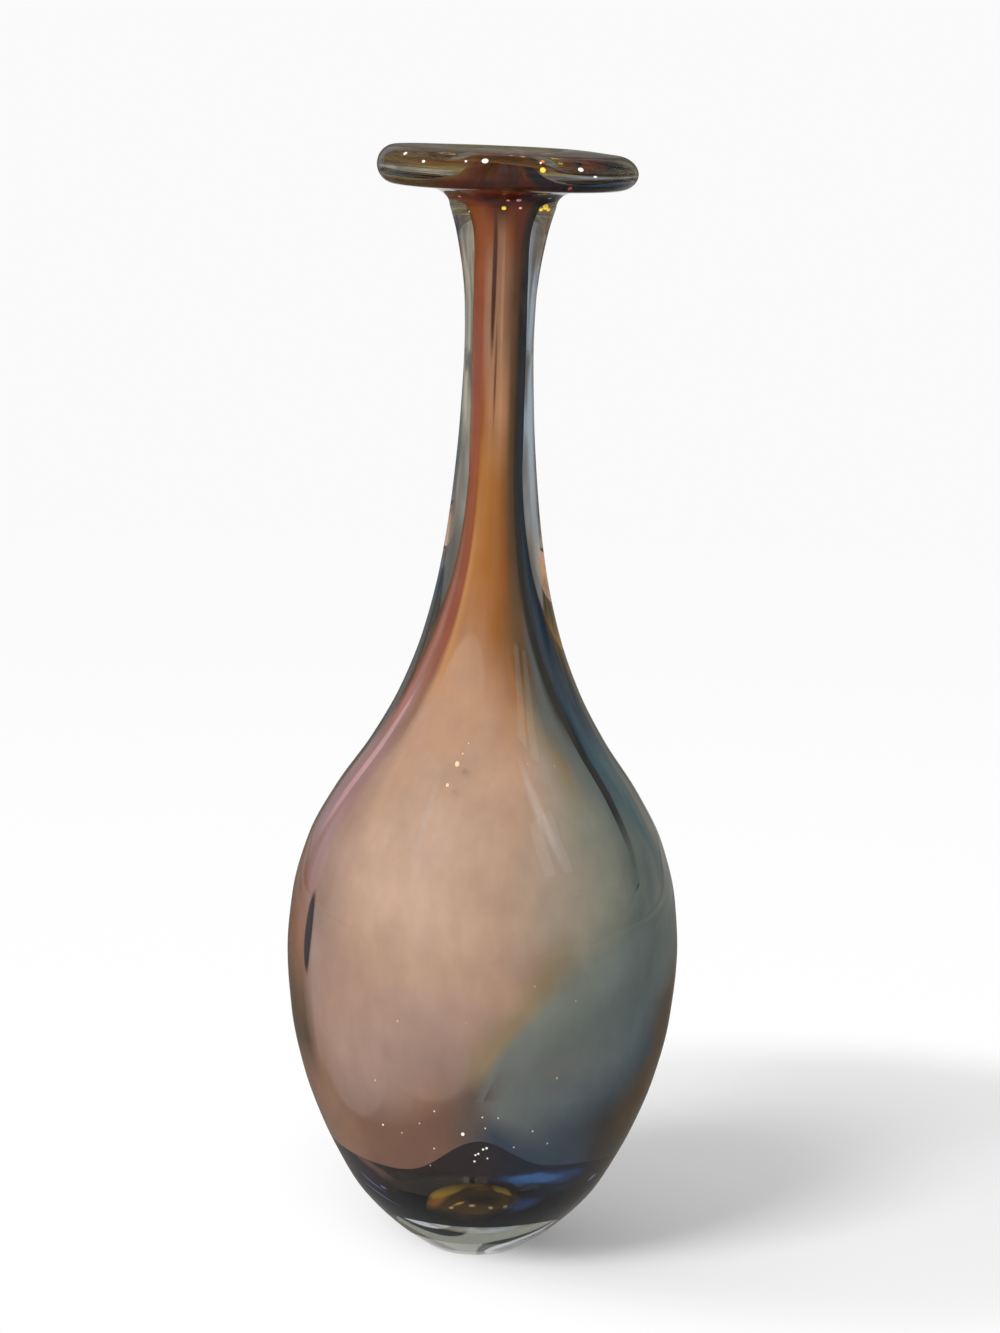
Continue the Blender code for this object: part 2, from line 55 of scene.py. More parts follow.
NECK_FLARE_LENGTH = 0.0365
SEAM_RADIUS = 0.0143
PONTIL_RADIUS = 0.0085
PONTIL_DEPTH = 0.0008
LOWER_BODY_SHARES = (
    (0.0, 0.0),
    (0.036, 0.112),
    (0.083, 0.238),
    (0.143, 0.372),
    (0.214, 0.500),
    (0.310, 0.620),
    (0.430, 0.745),
    (0.595, 0.874),
    (0.786, 0.964),
    (1.0, 1.0),
)
UPPER_BODY_SHARES = (
    (0.084, 0.977),
    (0.181, 0.885),
    (0.265, 0.722),
    (0.349, 0.509),
    (0.434, 0.337),
    (0.530, 0.2045),
    (0.639, 0.111),
    (0.759, 0.051),
    (0.892, 0.0129),
    (1.0, 0.0),
)
NECK_FLARE_SHARES = ((0.30, 0.055), (0.493, 0.190), (0.822, 0.625), (1.0, 1.0))
CASING_BELLY_WALL = 0.0038
CASING_SHOULDER_WALL = 0.0080
CASING_SHOULDER_SHARE = 0.488
CASING_BASE_WALL = 0.0169
CORE_NECK_RADIUS = 0.0048
LAYER_GAP = 0.0003
BUBBLE_CORNER_HEIGHT = 0.014
BUBBLE_CORNER_FULLNESS = 1.6
LIP_RADIUS = 0.0353
LIP_THICKNESS = 0.0104
LIP_FLOOR_WALL = 0.0030
LIP_FILLET_HEIGHT = 0.0051
LIP_SIDE_SHIFT = 0.0010
LIP_OVAL_WAVE = 0.0004
LIP_TOP_DROP = 0.0020
LIP_UNDERSIDE_DROP = 0.0005
COAT_INSET = 0.0038
TRUMPET_HEIGHT = 0.0326
TRUMPET_FULLNESS = 5.0
RINGS_AROUND = 160
WALL_RING_STEP = 0.002
CORNER_RINGS = 24
TRUMPET_RINGS = 26
SHARP_DEGREES = 50.0
GLASS_IOR = 1.5
CRYSTAL_ROUGHNESS = 0.012
CRYSTAL_RIPPLE = 0.12
GROUND_ROUGHNESS = 0.30
RIPPLE_SCALE = 55.0
RIPPLE_STRETCH = 0.5
RIPPLE_DEPTH = 0.0004

lip_underside = VASE_HEIGHT - LIP_THICKNESS
seam_height = lip_underside - LIP_FILLET_HEIGHT
waist_height = seam_height - NECK_FLARE_LENGTH
shoulder_height = BELLY_HEIGHT + CASING_SHOULDER_SHARE * (waist_height - BELLY_HEIGHT)
disc_height = lip_underside + LIP_FLOOR_WALL
trumpet_start = disc_height - TRUMPET_HEIGHT
coat_radius = LIP_RADIUS - COAT_INSET
bubble_floor = CASING_BASE_WALL + LAYER_GAP
bubble_corner_top = bubble_floor + BUBBLE_CORNER_HEIGHT


def between(low, high, share):
    return low + (high - low) * share


def eased(x, low, high):
    """0 below low, 1 above high, and a smooth rise between them."""
    t = min(max((x - low) / (high - low), 0.0), 1.0)
    return t * t * (3 - 2 * t)


def smooth_curve(points):
    """A curve through the points with no overshoot, as a function of their first value."""
    xs = [p[0] for p in points]
    ys = [p[1] for p in points]
    steps = [(ys[i + 1] - ys[i]) / (xs[i + 1] - xs[i]) for i in range(len(xs) - 1)]
    slopes = [steps[0]]
    for before, after in zip(steps, steps[1:]):
        turns_back = before * after <= 0
        slopes.append(0.0 if turns_back else 2 * before * after / (before + after))
    slopes.append(steps[-1])

    def value(x):
        x = min(max(x, xs[0]), xs[-1])
        i = max(k for k in range(len(xs) - 1) if xs[k] <= x)
        width = xs[i + 1] - xs[i]
        t = (x - xs[i]) / width
        rise = ys[i + 1] - ys[i]
        start, end = slopes[i] * width, slopes[i + 1] * width
        bend = start + end - 2 * rise
        return ys[i] + t * (start + t * (3 * rise - 2 * start - end + t * bend))

    return value


def heights_between(low, high):
    count = max(round((high - low) / WALL_RING_STEP), 1)
    return [between(low, high, i / count) for i in range(count + 1)]


body_points = [
    (BELLY_HEIGHT * up, between(FOOT_RADIUS, BELLY_RADIUS, out))
    for up, out in LOWER_BODY_SHARES
]
body_points += [
    (between(BELLY_HEIGHT, waist_height, up), between(WAIST_RADIUS, BELLY_RADIUS, out))
    for up, out in UPPER_BODY_SHARES
]
neck_points = [
    (between(waist_height, seam_height, up), between(WAIST_RADIUS, SEAM_RADIUS, out))
    for up, out in NECK_FLARE_SHARES
]
skin_radius = smooth_curve(body_points + neck_points)
casing_wall = smooth_curve(
    (
        (0.0, CASING_BELLY_WALL),
        (BELLY_HEIGHT, CASING_BELLY_WALL),
        (shoulder_height, CASING_SHOULDER_WALL),
        (waist_height, WAIST_RADIUS - CORE_NECK_RADIUS),
    )
)


def wall_radius(height):
    """Radius of the colour bubble's outside between its rounded bottom and the trumpet."""
    if height >= waist_height:
        return CORE_NECK_RADIUS
    return max(skin_radius(height) - casing_wall(height), CORE_NECK_RADIUS)


def core_radius(height):
    """Radius of the colour bubble's outside, with its rounded bottom."""
    below = max(bubble_corner_top - height, 0.0) / (bubble_corner_top - bubble_floor)
    return wall_radius(height) * math.sqrt(max(1 - below**BUBBLE_CORNER_FULLNESS, 0.0))


def rounded_bottom(floor, corner_top, radius_at, fullness):
    """Section of a bubble's rounded bottom, from the axis to just below its corner's top."""
    section = [(0.0, floor)]
    for i in range(1, CORNER_RINGS):
        turn = 0.5 * math.pi * i / CORNER_RINGS
        drop = (corner_top - floor) * math.cos(turn) ** (2 / fullness)
        height = corner_top - drop
        section.append((radius_at(height) * math.sin(turn), height))
    return section


def flare(start_radius, end_radius, end_height, fullness):
    """Section of a flare that leaves the neck upright and ends level."""
    section = []
    for i in range(1, TRUMPET_RINGS + 1):
        turn = 0.5 * math.pi * i / TRUMPET_RINGS
        out = 1 - math.cos(turn) ** (2 / fullness) if i < TRUMPET_RINGS else 1.0
        up = math.sin(turn) ** (2 / fullness)
        radius = between(start_radius, end_radius, out)
        section.append((radius, between(trumpet_start, end_height, up)))
    return section


def core_section():
    """Section of the colour bubble's outside, from the axis to the coat's rim."""
    bottom = (bubble_floor, bubble_corner_top, wall_radius, BUBBLE_CORNER_FULLNESS)
    section = rounded_bottom(*bottom)
    section += [(wall_radius(h), h) for h in heights_between(bubble_corner_top, trumpet_start)]
    return section + flare(CORE_NECK_RADIUS, coat_radius, disc_height, TRUMPET_FULLNESS)


def inwards(section, depth_at):
    """The section moved inwards, square to itself, by a depth that varies with height."""
    moved = []
    last = len(section) - 1
    for i, (radius, height) in enumerate(section):
        before, after = section[max(i - 1, 0)], section[min(i + 1, last)]
        along = Vector((after[0] - before[0], after[1] - before[1])).normalized()
        depth = depth_at(height)
        if radius == 0.0:
            moved.append((0.0, height + depth))
        elif i == last:
            moved.append((radius, height + depth))
        else:
            moved.append((radius - along.y * depth, height + along.x * depth))
    return moved


def clear_of_core(height):
    return -LAYER_GAP


def radius_on(section, height):
    """The section's radius where it crosses a height."""
    for low, high in zip(section, section[1:]):
        if low[1] <= height <= high[1]:
            return between(low[0], high[0], (height - low[1]) / (high[1] - low[1]))
    return section[-1][0]


def placed(radius, height, degrees):
    """A point of a section on its azimuth, with the lip's hand-made unevenness."""
    turn = math.radians(degrees)
    side = math.sin(turn)
    spread = eased(radius, SEAM_RADIUS, LIP_RADIUS) * eased(height, waist_height, seam_height)
    rise = eased(height, lip_underside, VASE_HEIGHT)
    radius += spread * (LIP_SIDE_SHIFT * side + LIP_OVAL_WAVE * math.cos(2 * turn))
    height -= spread * between(LIP_UNDERSIDE_DROP, LIP_TOP_DROP, rise) * (1 + side) / 2
    return Vector((radius * side, -radius * math.cos(turn), height))


def round_rings(section):
    """A ring of points for each point of a section, or one point on the axis."""
    angles = [360.0 * i / RINGS_AROUND for i in range(RINGS_AROUND)]
    return [[placed(r, h, a) for a in angles] if r else [placed(r, h, 0.0)] for r, h in section]


def mesh_of(name, shape, materials):
    """The finished shape's mesh, with its materials. The shape itself is freed."""
    mesh = bpy.data.meshes.new(name)
    shape.to_mesh(mesh)
    shape.free()
    for material in materials:
        mesh.materials.append(material)
    return mesh


def in_scene(name, data):
    """A new object, linked to the scene."""
    thing = bpy.data.objects.new(name, data)
    bpy.context.scene.collection.objects.link(thing)
    return thing


def glass_body(name, rings, finishes, looped=False, sector=False, across=None):
    """A closed body whose skin runs over the rings in order.

    finishes are its materials, each with the number of bands of skin that it covers.
    looped joins the last ring to the first. A sector's rings stay open, and its sides are
    closed with the last finish. across gives each ring's place up the section, and a
    sector's skin is then mapped with its place across and up.
    """
    shape = bmesh.new()
    corners = [[shape.verts.new(p) for p in points] for points in rings]
    bands = list(zip(corners, corners[1:]))
    if looped:
        bands.append((corners[-1], corners[0]))
    finish_of_band = [k for k, (material, count) in enumerate(finishes) for i in range(count)]
    place = {}
    if across:
        for points, up in zip(corners, across):
            for i, corner in enumerate(points):
                place[corner] = (i / (len(points) - 1), up)
    for (low, high), finish in zip(bands, finish_of_band):
        count = max(len(low), len(high))
        for i in range(count - 1 if sector else count):
            j = (i + 1) % count
            below = (low[i % len(low)], low[j % len(low)])
            above = (high[j % len(high)], high[i % len(high)])
            face = shape.faces.new(list(dict.fromkeys(below + above)))
            face.material_index = finish
    if sector:
        for side in (0, -1):
            for i in range(len(corners) // 2 - 1):
                outer = (corners[i][side], corners[i + 1][side])
                inner = (corners[-2 - i][side], corners[-1 - i][side])
                shape.faces.new(outer + inner).material_index = len(finishes) - 1
    if across:
        map_layer = shape.loops.layers.uv.new("streaks")
        for face in shape.faces:
            for loop in face.loops:
                loop[map_layer].uv = place[loop.vert]
    bmesh.ops.recalc_face_normals(shape, faces=shape.faces)
    mesh = mesh_of(name, shape, [material for material, count in finishes])
    mesh.shade_smooth()
    mesh.set_sharp_from_angle(angle=math.radians(SHARP_DEGREES))
    piece = in_scene(name, mesh)
    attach(piece, "root")
    return piece


def tone(red, green, blue):
    """A colour given as display values from 0 to 255."""
    linear = []
    for value in (red, green, blue):
        share = value / 255
        linear.append(share / 12.92 if share < 0.04 else ((share + 0.055) / 1.055) ** 2.4)
    return (*linear, 1.0)


def empty_material(name):
    material = bpy.data.materials.new(name)
    material.use_nodes = True
    material.node_tree.nodes.clear()
    return material, material.node_tree


def added(tree, kind, inputs=None, **settings):
    """A new node with its settings, and a value or a link on each named input."""
    node = tree.nodes.new(kind)
    for key, value in settings.items():
        setattr(node, key, value)
    for name, value in (inputs or {}).items():
        if isinstance(value, bpy.types.NodeSocket):
            tree.links.new(value, node.inputs[name])
        else:
            node.inputs[name].default_value = value
    return node


def maths(tree, operation, *values):
    """A sum of one to three values or sockets."""
    return added(tree, "ShaderNodeMath", dict(enumerate(values)), operation=operation).outputs[0]


def mottle(tree, scale, stretch, detail=3.0):
    """Soft clouds in the glass, drawn out along the vase by a stretch below 1."""
    place = added(tree, "ShaderNodeTexCoord").outputs["Object"]
    squeeze = added(tree, "ShaderNodeMapping", {"Vector": place, "Scale": (1.0, 1.0, stretch)})
    clouds = {"Vector": squeeze.outputs[0], "Scale": scale, "Detail": detail}
    return added(tree, "ShaderNodeTexNoise", clouds).outputs[0]


def two_shaders(tree, share, first, second):
    return added(tree, "ShaderNodeMixShader", {0: share, 1: first, 2: second}).outputs[0]


def lit_through(tree, surface):
    """The surface, but clear to rays from lamps and from matt glass, so that light gets in."""
    path = added(tree, "ShaderNodeLightPath")
    open_share = maths(tree, "MAXIMUM", path.outputs["Is Shadow Ray"], path.outputs["Is Diffuse Ray"])
    clear = added(tree, "ShaderNodeBsdfTransparent", {"Color": SOFT_CLEAR})
    return two_shaders(tree, open_share, surface, clear.outputs[0])


def shown(tree, surface):
    added(tree, "ShaderNodeOutputMaterial", {"Surface": surface})


def clear_face(tree, colour, roughness, ripple, ripple_depth, clouds):
    """Shows clear glass with an open face to the air, and the ripple that hand work leaves."""
    bump = added(
        tree,
        "ShaderNodeBump",
        {"Strength": ripple, "Distance": ripple_depth, "Height": clouds},
    )
    look = {
        "Base Color": colour,
        "Roughness": roughness,
        "Transmission Weight": 1.0,
        "IOR": GLASS_IOR,
        "Normal": bump.outputs[0],
    }
    shader = added(tree, "ShaderNodeBsdfPrincipled", look)
    shown(tree, lit_through(tree, shader.outputs[0]))


def clear_glass(name, colour, roughness, ripple):
    material, tree = empty_material(name)
    clouds = mottle(tree, RIPPLE_SCALE, RIPPLE_STRETCH, 1.0)
    clear_face(tree, colour, roughness, ripple, RIPPLE_DEPTH, clouds)
    return material


def fused_face(name):
    """A face where two layers of glass have run together, which can't be seen."""
    material, tree = empty_material(name)
    shown(tree, added(tree, "ShaderNodeBsdfTransparent").outputs[0])
    return material


WHITE = tone(255, 255, 255)
SOFT_CLEAR = tone(246, 246, 246)
CRYSTAL = tone(243, 244, 240)
GROUND_CRYSTAL = tone(226, 228, 224)

crystal_skin = clear_glass("crystal_skin", CRYSTAL, CRYSTAL_ROUGHNESS, CRYSTAL_RIPPLE)
ground_pontil = clear_glass("ground_pontil", GROUND_CRYSTAL, GROUND_ROUGHNESS, 0.0)
fused = fused_face("fused_glass")

outside = [(0.0, PONTIL_DEPTH), (PONTIL_RADIUS, 0.0)]
outside += [(skin_radius(h), h) for h in heights_between(0.0, seam_height)]
trumpet_wall = inwards(core_section(), clear_of_core)
inside = [p for p in trumpet_wall if p[1] < seam_height]
inside.append((radius_on(trumpet_wall, seam_height), seam_height))
casing_rings = round_rings(outside) + round_rings(inside)[::-1]
casing = glass_body(
    "clear_casing",
    casing_rings,
    [(ground_pontil, 1), (crystal_skin, len(outside) - 2), (fused, len(inside))],
)
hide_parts("crystal_casing")

# Lip wrap: a bit of the same clear glass, wrapped round the mouth while hot and opened
# out to a flat, slightly uneven lip with a full round edge. Its lower half is stained with
# the olive, rust and navy that a thick lip picks up from the glass round it.
LIP_EDGE_DEPTH = 0.0050
LIP_FILLET_WIDTH = 0.0105
EDGE_STEPS = 40
FILLET_STEPS = 16
LIP_ROUGHNESS = 0.02
LIP_RIPPLE = 0.3
LIP_RIPPLE_SCALE = 70.0
LIP_RIPPLE_STRETCH = 0.6
LIP_RIPPLE_DEPTH = 0.0006
LIP_CLOUD_SCALE = 60.0
LIP_CLOUD_TURN = 0.12
LIP_STAIN_LOW = 0.2955
LIP_STAIN_HIGH = 0.2990
LIP_STAIN_WAVE = 0.004
STAIN_OLIVE = tone(158, 124, 48)
STAIN_KHAKI = tone(206, 200, 172)
STAIN_RUST = tone(150, 62, 28)
STAIN_NAVY = tone(34, 54, 118)
LIP_STAINS = (
    (-180.0, STAIN_KHAKI),
    (-110.0, STAIN_KHAKI),
    (-62.0, STAIN_OLIVE),
    (-42.0, STAIN_OLIVE),
    (-24.0, STAIN_RUST),
    (14.0, STAIN_RUST),
    (26.0, STAIN_NAVY),
    (80.0, STAIN_NAVY),
    (110.0, STAIN_KHAKI),
)

edge_centre_radius = LIP_RADIUS - LIP_EDGE_DEPTH


def edge_point(turn):
    """The lip's rounded edge, from its underside at -90 degrees to its top at 90."""
    half = LIP_THICKNESS / 2
    radius = edge_centre_radius + LIP_EDGE_DEPTH * math.cos(turn)
    return radius, lip_underside + half + half * math.sin(turn)


def edge_turn(radius):
    """Where, on its upper half, the lip's rounded edge has a radius."""
    return math.acos((radius - edge_centre_radius) / LIP_EDGE_DEPTH)


def smooth_step(tree, value, low, high, top=1.0):
    """0 below low, top above high, and a smooth rise between them."""
    reach = {"Value": value, "From Min": low, "From Max": high, "To Max": top}
    node = added(tree, "ShaderNodeMapRange", reach, interpolation_type="SMOOTHSTEP")
    return node.outputs[0]


def colour_mix(tree, share, first, second):
    node = added(tree, "ShaderNodeMix", {0: share, 6: first, 7: second}, data_type="RGBA")
    return node.outputs[2]


def object_places(tree):
    """The point's x, y and z on the vase."""
    place = added(tree, "ShaderNodeTexCoord").outputs["Object"]
    return added(tree, "ShaderNodeSeparateXYZ", {0: place}).outputs


def azimuth_of(tree, x, y):
    """The point's azimuth in degrees."""
    turn = maths(tree, "ARCTAN2", x, maths(tree, "MULTIPLY", y, -1.0))
    return maths(tree, "DEGREES", turn)


def ramp(tree, place, stops):
    """Colours side by side, as (place, colour) pairs, which run into each other."""
    node = added(tree, "ShaderNodeValToRGB", {0: place})
    points = node.color_ramp.elements
    while len(points) < len(stops):
        points.new(1.0)
    for point, (position, colour) in zip(points, stops):
        point.position = position
        point.color = colour
    return node.outputs[0]


def coloured_ring(tree, azimuth, shift, stops):
    """(azimuth, colour) pairs round the vase. A shift of 0.5 puts them where they say."""
    turned = maths(tree, "MULTIPLY_ADD", azimuth, 1 / 360.0, shift)
    return ramp(tree, turned, [((degrees + 180.0) / 360.0, colour) for degrees, colour in stops])


lip_skin, tree = empty_material("lip_skin")
x, y, z = object_places(tree)
clouds = mottle(tree, LIP_CLOUD_SCALE, 1.0)
shift = maths(tree, "MULTIPLY_ADD", clouds, LIP_CLOUD_TURN, 0.5 - LIP_CLOUD_TURN / 2)
stain = coloured_ring(tree, azimuth_of(tree, x, y), shift, LIP_STAINS)
height = maths(tree, "MULTIPLY_ADD", shift, LIP_STAIN_WAVE, z)
upper = smooth_step(tree, height, LIP_STAIN_LOW, LIP_STAIN_HIGH)
under = smooth_step(tree, height, seam_height, lip_underside)
clear_share = maths(tree, "SUBTRACT", 1.0, maths(tree, "SUBTRACT", under, upper))
tint = colour_mix(tree, clear_share, stain, CRYSTAL)
clouds = mottle(tree, LIP_RIPPLE_SCALE, LIP_RIPPLE_STRETCH, 1.0)
clear_face(tree, tint, LIP_ROUGHNESS, LIP_RIPPLE, LIP_RIPPLE_DEPTH, clouds)

outside = []
for i in range(FILLET_STEPS + 1):
    turn = 0.5 * math.pi * i / FILLET_STEPS
    radius = SEAM_RADIUS + LIP_FILLET_WIDTH * (1 - math.cos(turn))
    outside.append((radius, seam_height + LIP_FILLET_HEIGHT * math.sin(turn)))
coat_turn = edge_turn(coat_radius)
for i in range(EDGE_STEPS + 1):
    outside.append(edge_point(between(-0.5 * math.pi, coat_turn, i / EDGE_STEPS)))
inside = [(radius_on(trumpet_wall, seam_height), seam_height)]
inside += [p for p in trumpet_wall if p[1] > seam_height and p[0] < coat_radius]
inside.append((coat_radius, trumpet_wall[-1][1]))
lip = glass_body(
    "clear_lip",
    round_rings(outside) + round_rings(inside)[::-1],
    [(lip_skin, len(outside) - 1), (fused, len(inside) + 1)],
    looped=True,
)
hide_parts("lip_wrap")

# Gold button: a thick drop of gold glass, laid on the cup's floor before the bubble was
# blown down on it. It is dark olive where it is deep, with a painted yellow highlight along
# its upper edge and painted glints near its bottom.
OVERLAY_BODY_WALL = 0.0011
OVERLAY_NECK_WALL = 0.0007
BUTTON_RADIUS = 0.0088
BUTTON_THICKNESS = 0.0098
BUTTON_EDGE_THICKNESS = 0.0012
BUTTON_RINGS = 20
MILLIMETRES = 1000.0
GOLD_ROUGHNESS = 0.22
GOLD_WANDER = 1.4
GOLD_WANDER_SCALE = 260.0


def neckward(height, body_value, neck_value):
    """A wall that thins from its body value to its neck value between belly and waist."""
    return between(body_value, neck_value, eased(height, BELLY_HEIGHT, waist_height))


def overlay_depth(height):
    return neckward(height, OVERLAY_BODY_WALL, OVERLAY_NECK_WALL)


def lining_depth(height):
    return overlay_depth(height) + LAYER_GAP


def height_on(section, radius):
    """The section's height where it crosses a radius near the axis."""
    for low, high in zip(section, section[1:]):
        if low[0] <= radius <= high[0]:
            return between(low[1], high[1], (radius - low[0]) / (high[0] - low[0]))
    return section[-1][1]


def wander_of(tree, scale, width):
    """An offset that drifts from place to place, by up to half a width either way."""
    return maths(tree, "MULTIPLY_ADD", mottle(tree, scale, 1.0), width, -width / 2)


def spot_of(tree, across, up):
    return added(tree, "ShaderNodeCombineXYZ", {0: across, 1: up}).outputs[0]


def oval(tree, spot, across, up, half_across, half_up, lean=0.0, strength=1.0, core=0.25):
    """A soft-edged oval, as a share, full in its core. A lean tips its top to +across."""
    fit = {
        "Vector": spot,
        "Location": (across, up, 0.0),
        "Rotation": (0.0, 0.0, -math.radians(lean)),
        "Scale": (half_across, half_up, 1.0),
    }
    fitted = added(tree, "ShaderNodeMapping", fit, vector_type="TEXTURE").outputs[0]
    out = added(tree, "ShaderNodeVectorMath", {0: fitted}, operation="LENGTH")
    return smooth_step(tree, out.outputs["Value"], 1.0, core, strength)


def patched(tree, colour, spot, patches):
    """The colour with ovals of others on it: (colour, oval's places) pairs."""
    for patch, places in patches:
        colour = colour_mix(tree, oval(tree, spot, *places), colour, patch)
    return colour


PAINTED_GOLD_HIGHLIGHT = tone(255, 224, 92)
ORANGE_GOLD = tone(206, 142, 44)
OLIVE_GOLD = tone(96, 78, 30)
DEEP_OLIVE = tone(52, 42, 18)
PAINTED_GOLD_GLINT = tone(255, 240, 196)

gold, tree = empty_material("gold_glass")
x, y, z = object_places(tree)
wander = wander_of(tree, GOLD_WANDER_SCALE, GOLD_WANDER)
across = maths(tree, "MULTIPLY_ADD", x, MILLIMETRES, wander)
up = maths(tree, "MULTIPLY_ADD", z, MILLIMETRES, wander)
spot = spot_of(tree, across, up)
# The bright gold ovals are a painted highlight along the drop's upper edge, and the palest ones near its
# bottom are painted glints.
gold_patches = (
    (ORANGE_GOLD, (0.0, 27.6, 7.0, 1.8)),
    (ORANGE_GOLD, (-6.6, 24.0, 1.8, 5.0, 30.0)),
    (PAINTED_GOLD_HIGHLIGHT, (-5.0, 26.2, 1.9, 5.4, 52.0, 1.0, 0.6)),
    (PAINTED_GOLD_HIGHLIGHT, (-1.4, 28.2, 4.6, 1.3, 0.0, 1.0, 0.5)),
    (PAINTED_GOLD_HIGHLIGHT, (4.8, 26.4, 0.9, 3.0, -50.0, 1.0, 0.5)),
    (DEEP_OLIVE, (1.4, 23.4, 5.2, 2.2)),
    (PAINTED_GOLD_HIGHLIGHT, (-3.2, 22.0, 0.4, 1.8, 60.0)),
    (PAINTED_GOLD_GLINT, (-4.6, 20.9, 0.6, 0.4)),
    (PAINTED_GOLD_GLINT, (-0.6, 21.6, 0.9, 0.5)),
    (PAINTED_GOLD_GLINT, (3.0, 21.0, 0.7, 0.5)),
    (PAINTED_GOLD_GLINT, (6.0, 21.4, 0.6, 0.5)),
)
colour = patched(tree, OLIVE_GOLD, spot, gold_patches)
look = {"Base Color": colour, "Roughness": GOLD_ROUGHNESS}
shown(tree, added(tree, "ShaderNodeBsdfPrincipled", look).outputs[0])

cup_inside = inwards(core_section(), lining_depth)
under = []
top = []
for i in range(BUTTON_RINGS + 1):
    share = math.sin(0.5 * math.pi * i / BUTTON_RINGS)
    seat = height_on(cup_inside, BUTTON_RADIUS * share)
    thickness = between(BUTTON_EDGE_THICKNESS, BUTTON_THICKNESS, math.sqrt(1 - share**2))
    under.append((BUTTON_RADIUS * share, seat))
    top.append((BUTTON_RADIUS * share, seat + thickness))
button = glass_body(
    "gold_drop",
    round_rings(under) + round_rings(top)[::-1],
    [(gold, 2 * len(under) - 1)],
)
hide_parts("gold_button")

# Bubble lining: the first gather, blown to a bubble. It holds the hollow, narrows to the
# bore and runs out over the lip as its top coat. Its outside is fused to the colour, and
# its underside closes over the gold drop.
LINING_FLOOR_WALL = 0.0015
LINING_BODY_WALL = 0.0015
LINING_NECK_WALL = 0.0006
BORE_RADIUS = 0.0032
HOLLOW_CORNER_HEIGHT = 0.020
HOLLOW_CORNER_FULLNESS = 2.5
MOUTH_FULLNESS = 4.0
HOLLOW_ROUGHNESS = 0.05

button_seat = bubble_floor + OVERLAY_BODY_WALL + LAYER_GAP
hollow_floor = button_seat + BUTTON_THICKNESS + LAYER_GAP + LINING_FLOOR_WALL
hollow_corner_top = hollow_floor + HOLLOW_CORNER_HEIGHT


def clear_of_button(height):
    return LAYER_GAP


def hollow_depth(height):
    return lining_depth(height) + neckward(height, LINING_BODY_WALL, LINING_NECK_WALL)


def thin_glass(name):
    """The skin of the hollow: it shines, but it's too thin to bend what is behind it."""
    material, tree = empty_material(name)
    clear = added(tree, "ShaderNodeBsdfTransparent").outputs[0]
    shine = added(tree, "ShaderNodeBsdfGlossy", {"Roughness": HOLLOW_ROUGHNESS}).outputs[0]
    fresnel = added(tree, "ShaderNodeFresnel", {"IOR": GLASS_IOR}).outputs[0]
    shown(tree, lit_through(tree, two_shaders(tree, fresnel, clear, shine)))
    return material


hollow_skin = thin_glass("hollow_skin")

wall = inwards(core_section(), hollow_depth)
wall = [p for p in wall if bubble_corner_top < p[1] < trumpet_start]
wall = [(max(radius, BORE_RADIUS), height) for radius, height in wall]
wall_at = smooth_curve([(height, radius) for radius, height in wall])
hollow = rounded_bottom(hollow_floor, hollow_corner_top, wall_at, HOLLOW_CORNER_FULLNESS)
hollow += [p for p in wall if p[1] > hollow_corner_top]
hollow.append((BORE_RADIUS, trumpet_start))
bore_bands = len(hollow)
hollow += flare(BORE_RADIUS, edge_centre_radius, VASE_HEIGHT, MOUTH_FULLNESS)
for i in range(1, EDGE_STEPS // 4 + 1):
    turn = between(0.5 * math.pi, coat_turn, i / (EDGE_STEPS // 4))
    hollow.append(edge_point(turn))
recess_radius = BUTTON_RADIUS + LAYER_GAP
recess = inwards(top + [under[-1]], clear_of_button)[:-1]
recess.append((recess_radius, height_on(cup_inside, recess_radius)))
lining_outside = recess + [p for p in cup_inside if p[0] > recess_radius]
mouth_bands = len(hollow) - bore_bands
lining = glass_body(
    "lining_bubble",
    round_rings(lining_outside) + round_rings(hollow)[::-1],
    [(fused, len(lining_outside)), (crystal_skin, mouth_bands), (hollow_skin, bore_bands - 1)],
)
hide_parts("bubble_lining")

# Cobalt cup: blue-violet glass round the bubble's bottom, nearly black where it is thick.
# Its uneven rim runs up to a point in front, and thin places in its wall let the gold drop
# through. It also carries painted light: a bright blue in front, painted as light shining
# through thin cobalt from behind, violet glints, and pale bars on its back that show up in
# the clear base as a painted reflection.
CUP_DEPTH = 0.0143
CUP_PEAK_RISE = 0.0100
CUP_PEAK_DEGREES = 17.0
CUP_WAVE = 0.0012
CUP_FLOOR_SHARE = 0.45
CUP_SETTLE_HEIGHT = 0.030
CUP_RINGS = 20
CUP_ROUGHNESS = 0.4
CUP_WANDER = 3.0
CUP_WANDER_SCALE = 160.0
CUP_BLACK_TOP = 21.0
CUP_BAND_START = 26.0
THIN_SPREAD = 2.2
THIN_MOST = 0.94
CUP_BROWN = tone(40, 30, 24)
CUP_VIOLET = tone(46, 37, 39)
CUP_NIGHT = tone(30, 35, 50)
CUP_BLACK = tone(18, 15, 20)
MAUVE_BROWN = tone(98, 74, 66)
PAINTED_BACKLIT_BLUE = tone(62, 98, 148)
COBALT = tone(40, 58, 98)
PAINTED_VIOLET_GLINT = tone(120, 118, 178)
PAINTED_PALE_REFLECTION = tone(178, 182, 168)
PAINTED_BLUE_WHITE_REFLECTION = tone(236, 242, 250)
PAINTED_GREY_REFLECTION = tone(150, 152, 150)
THIN_COBALT = tone(232, 214, 196)

cup_rim_height = bubble_floor + CUP_DEPTH


def under_core(height, depth):
    """The point that lies a depth square under the colour bubble's outside."""
    step = LAYER_GAP
    slope = (core_radius(height + step) - core_radius(height - step)) / (2 * step)
    length = math.hypot(1.0, slope)
    return core_radius(height) - depth / length, height + depth * slope / length


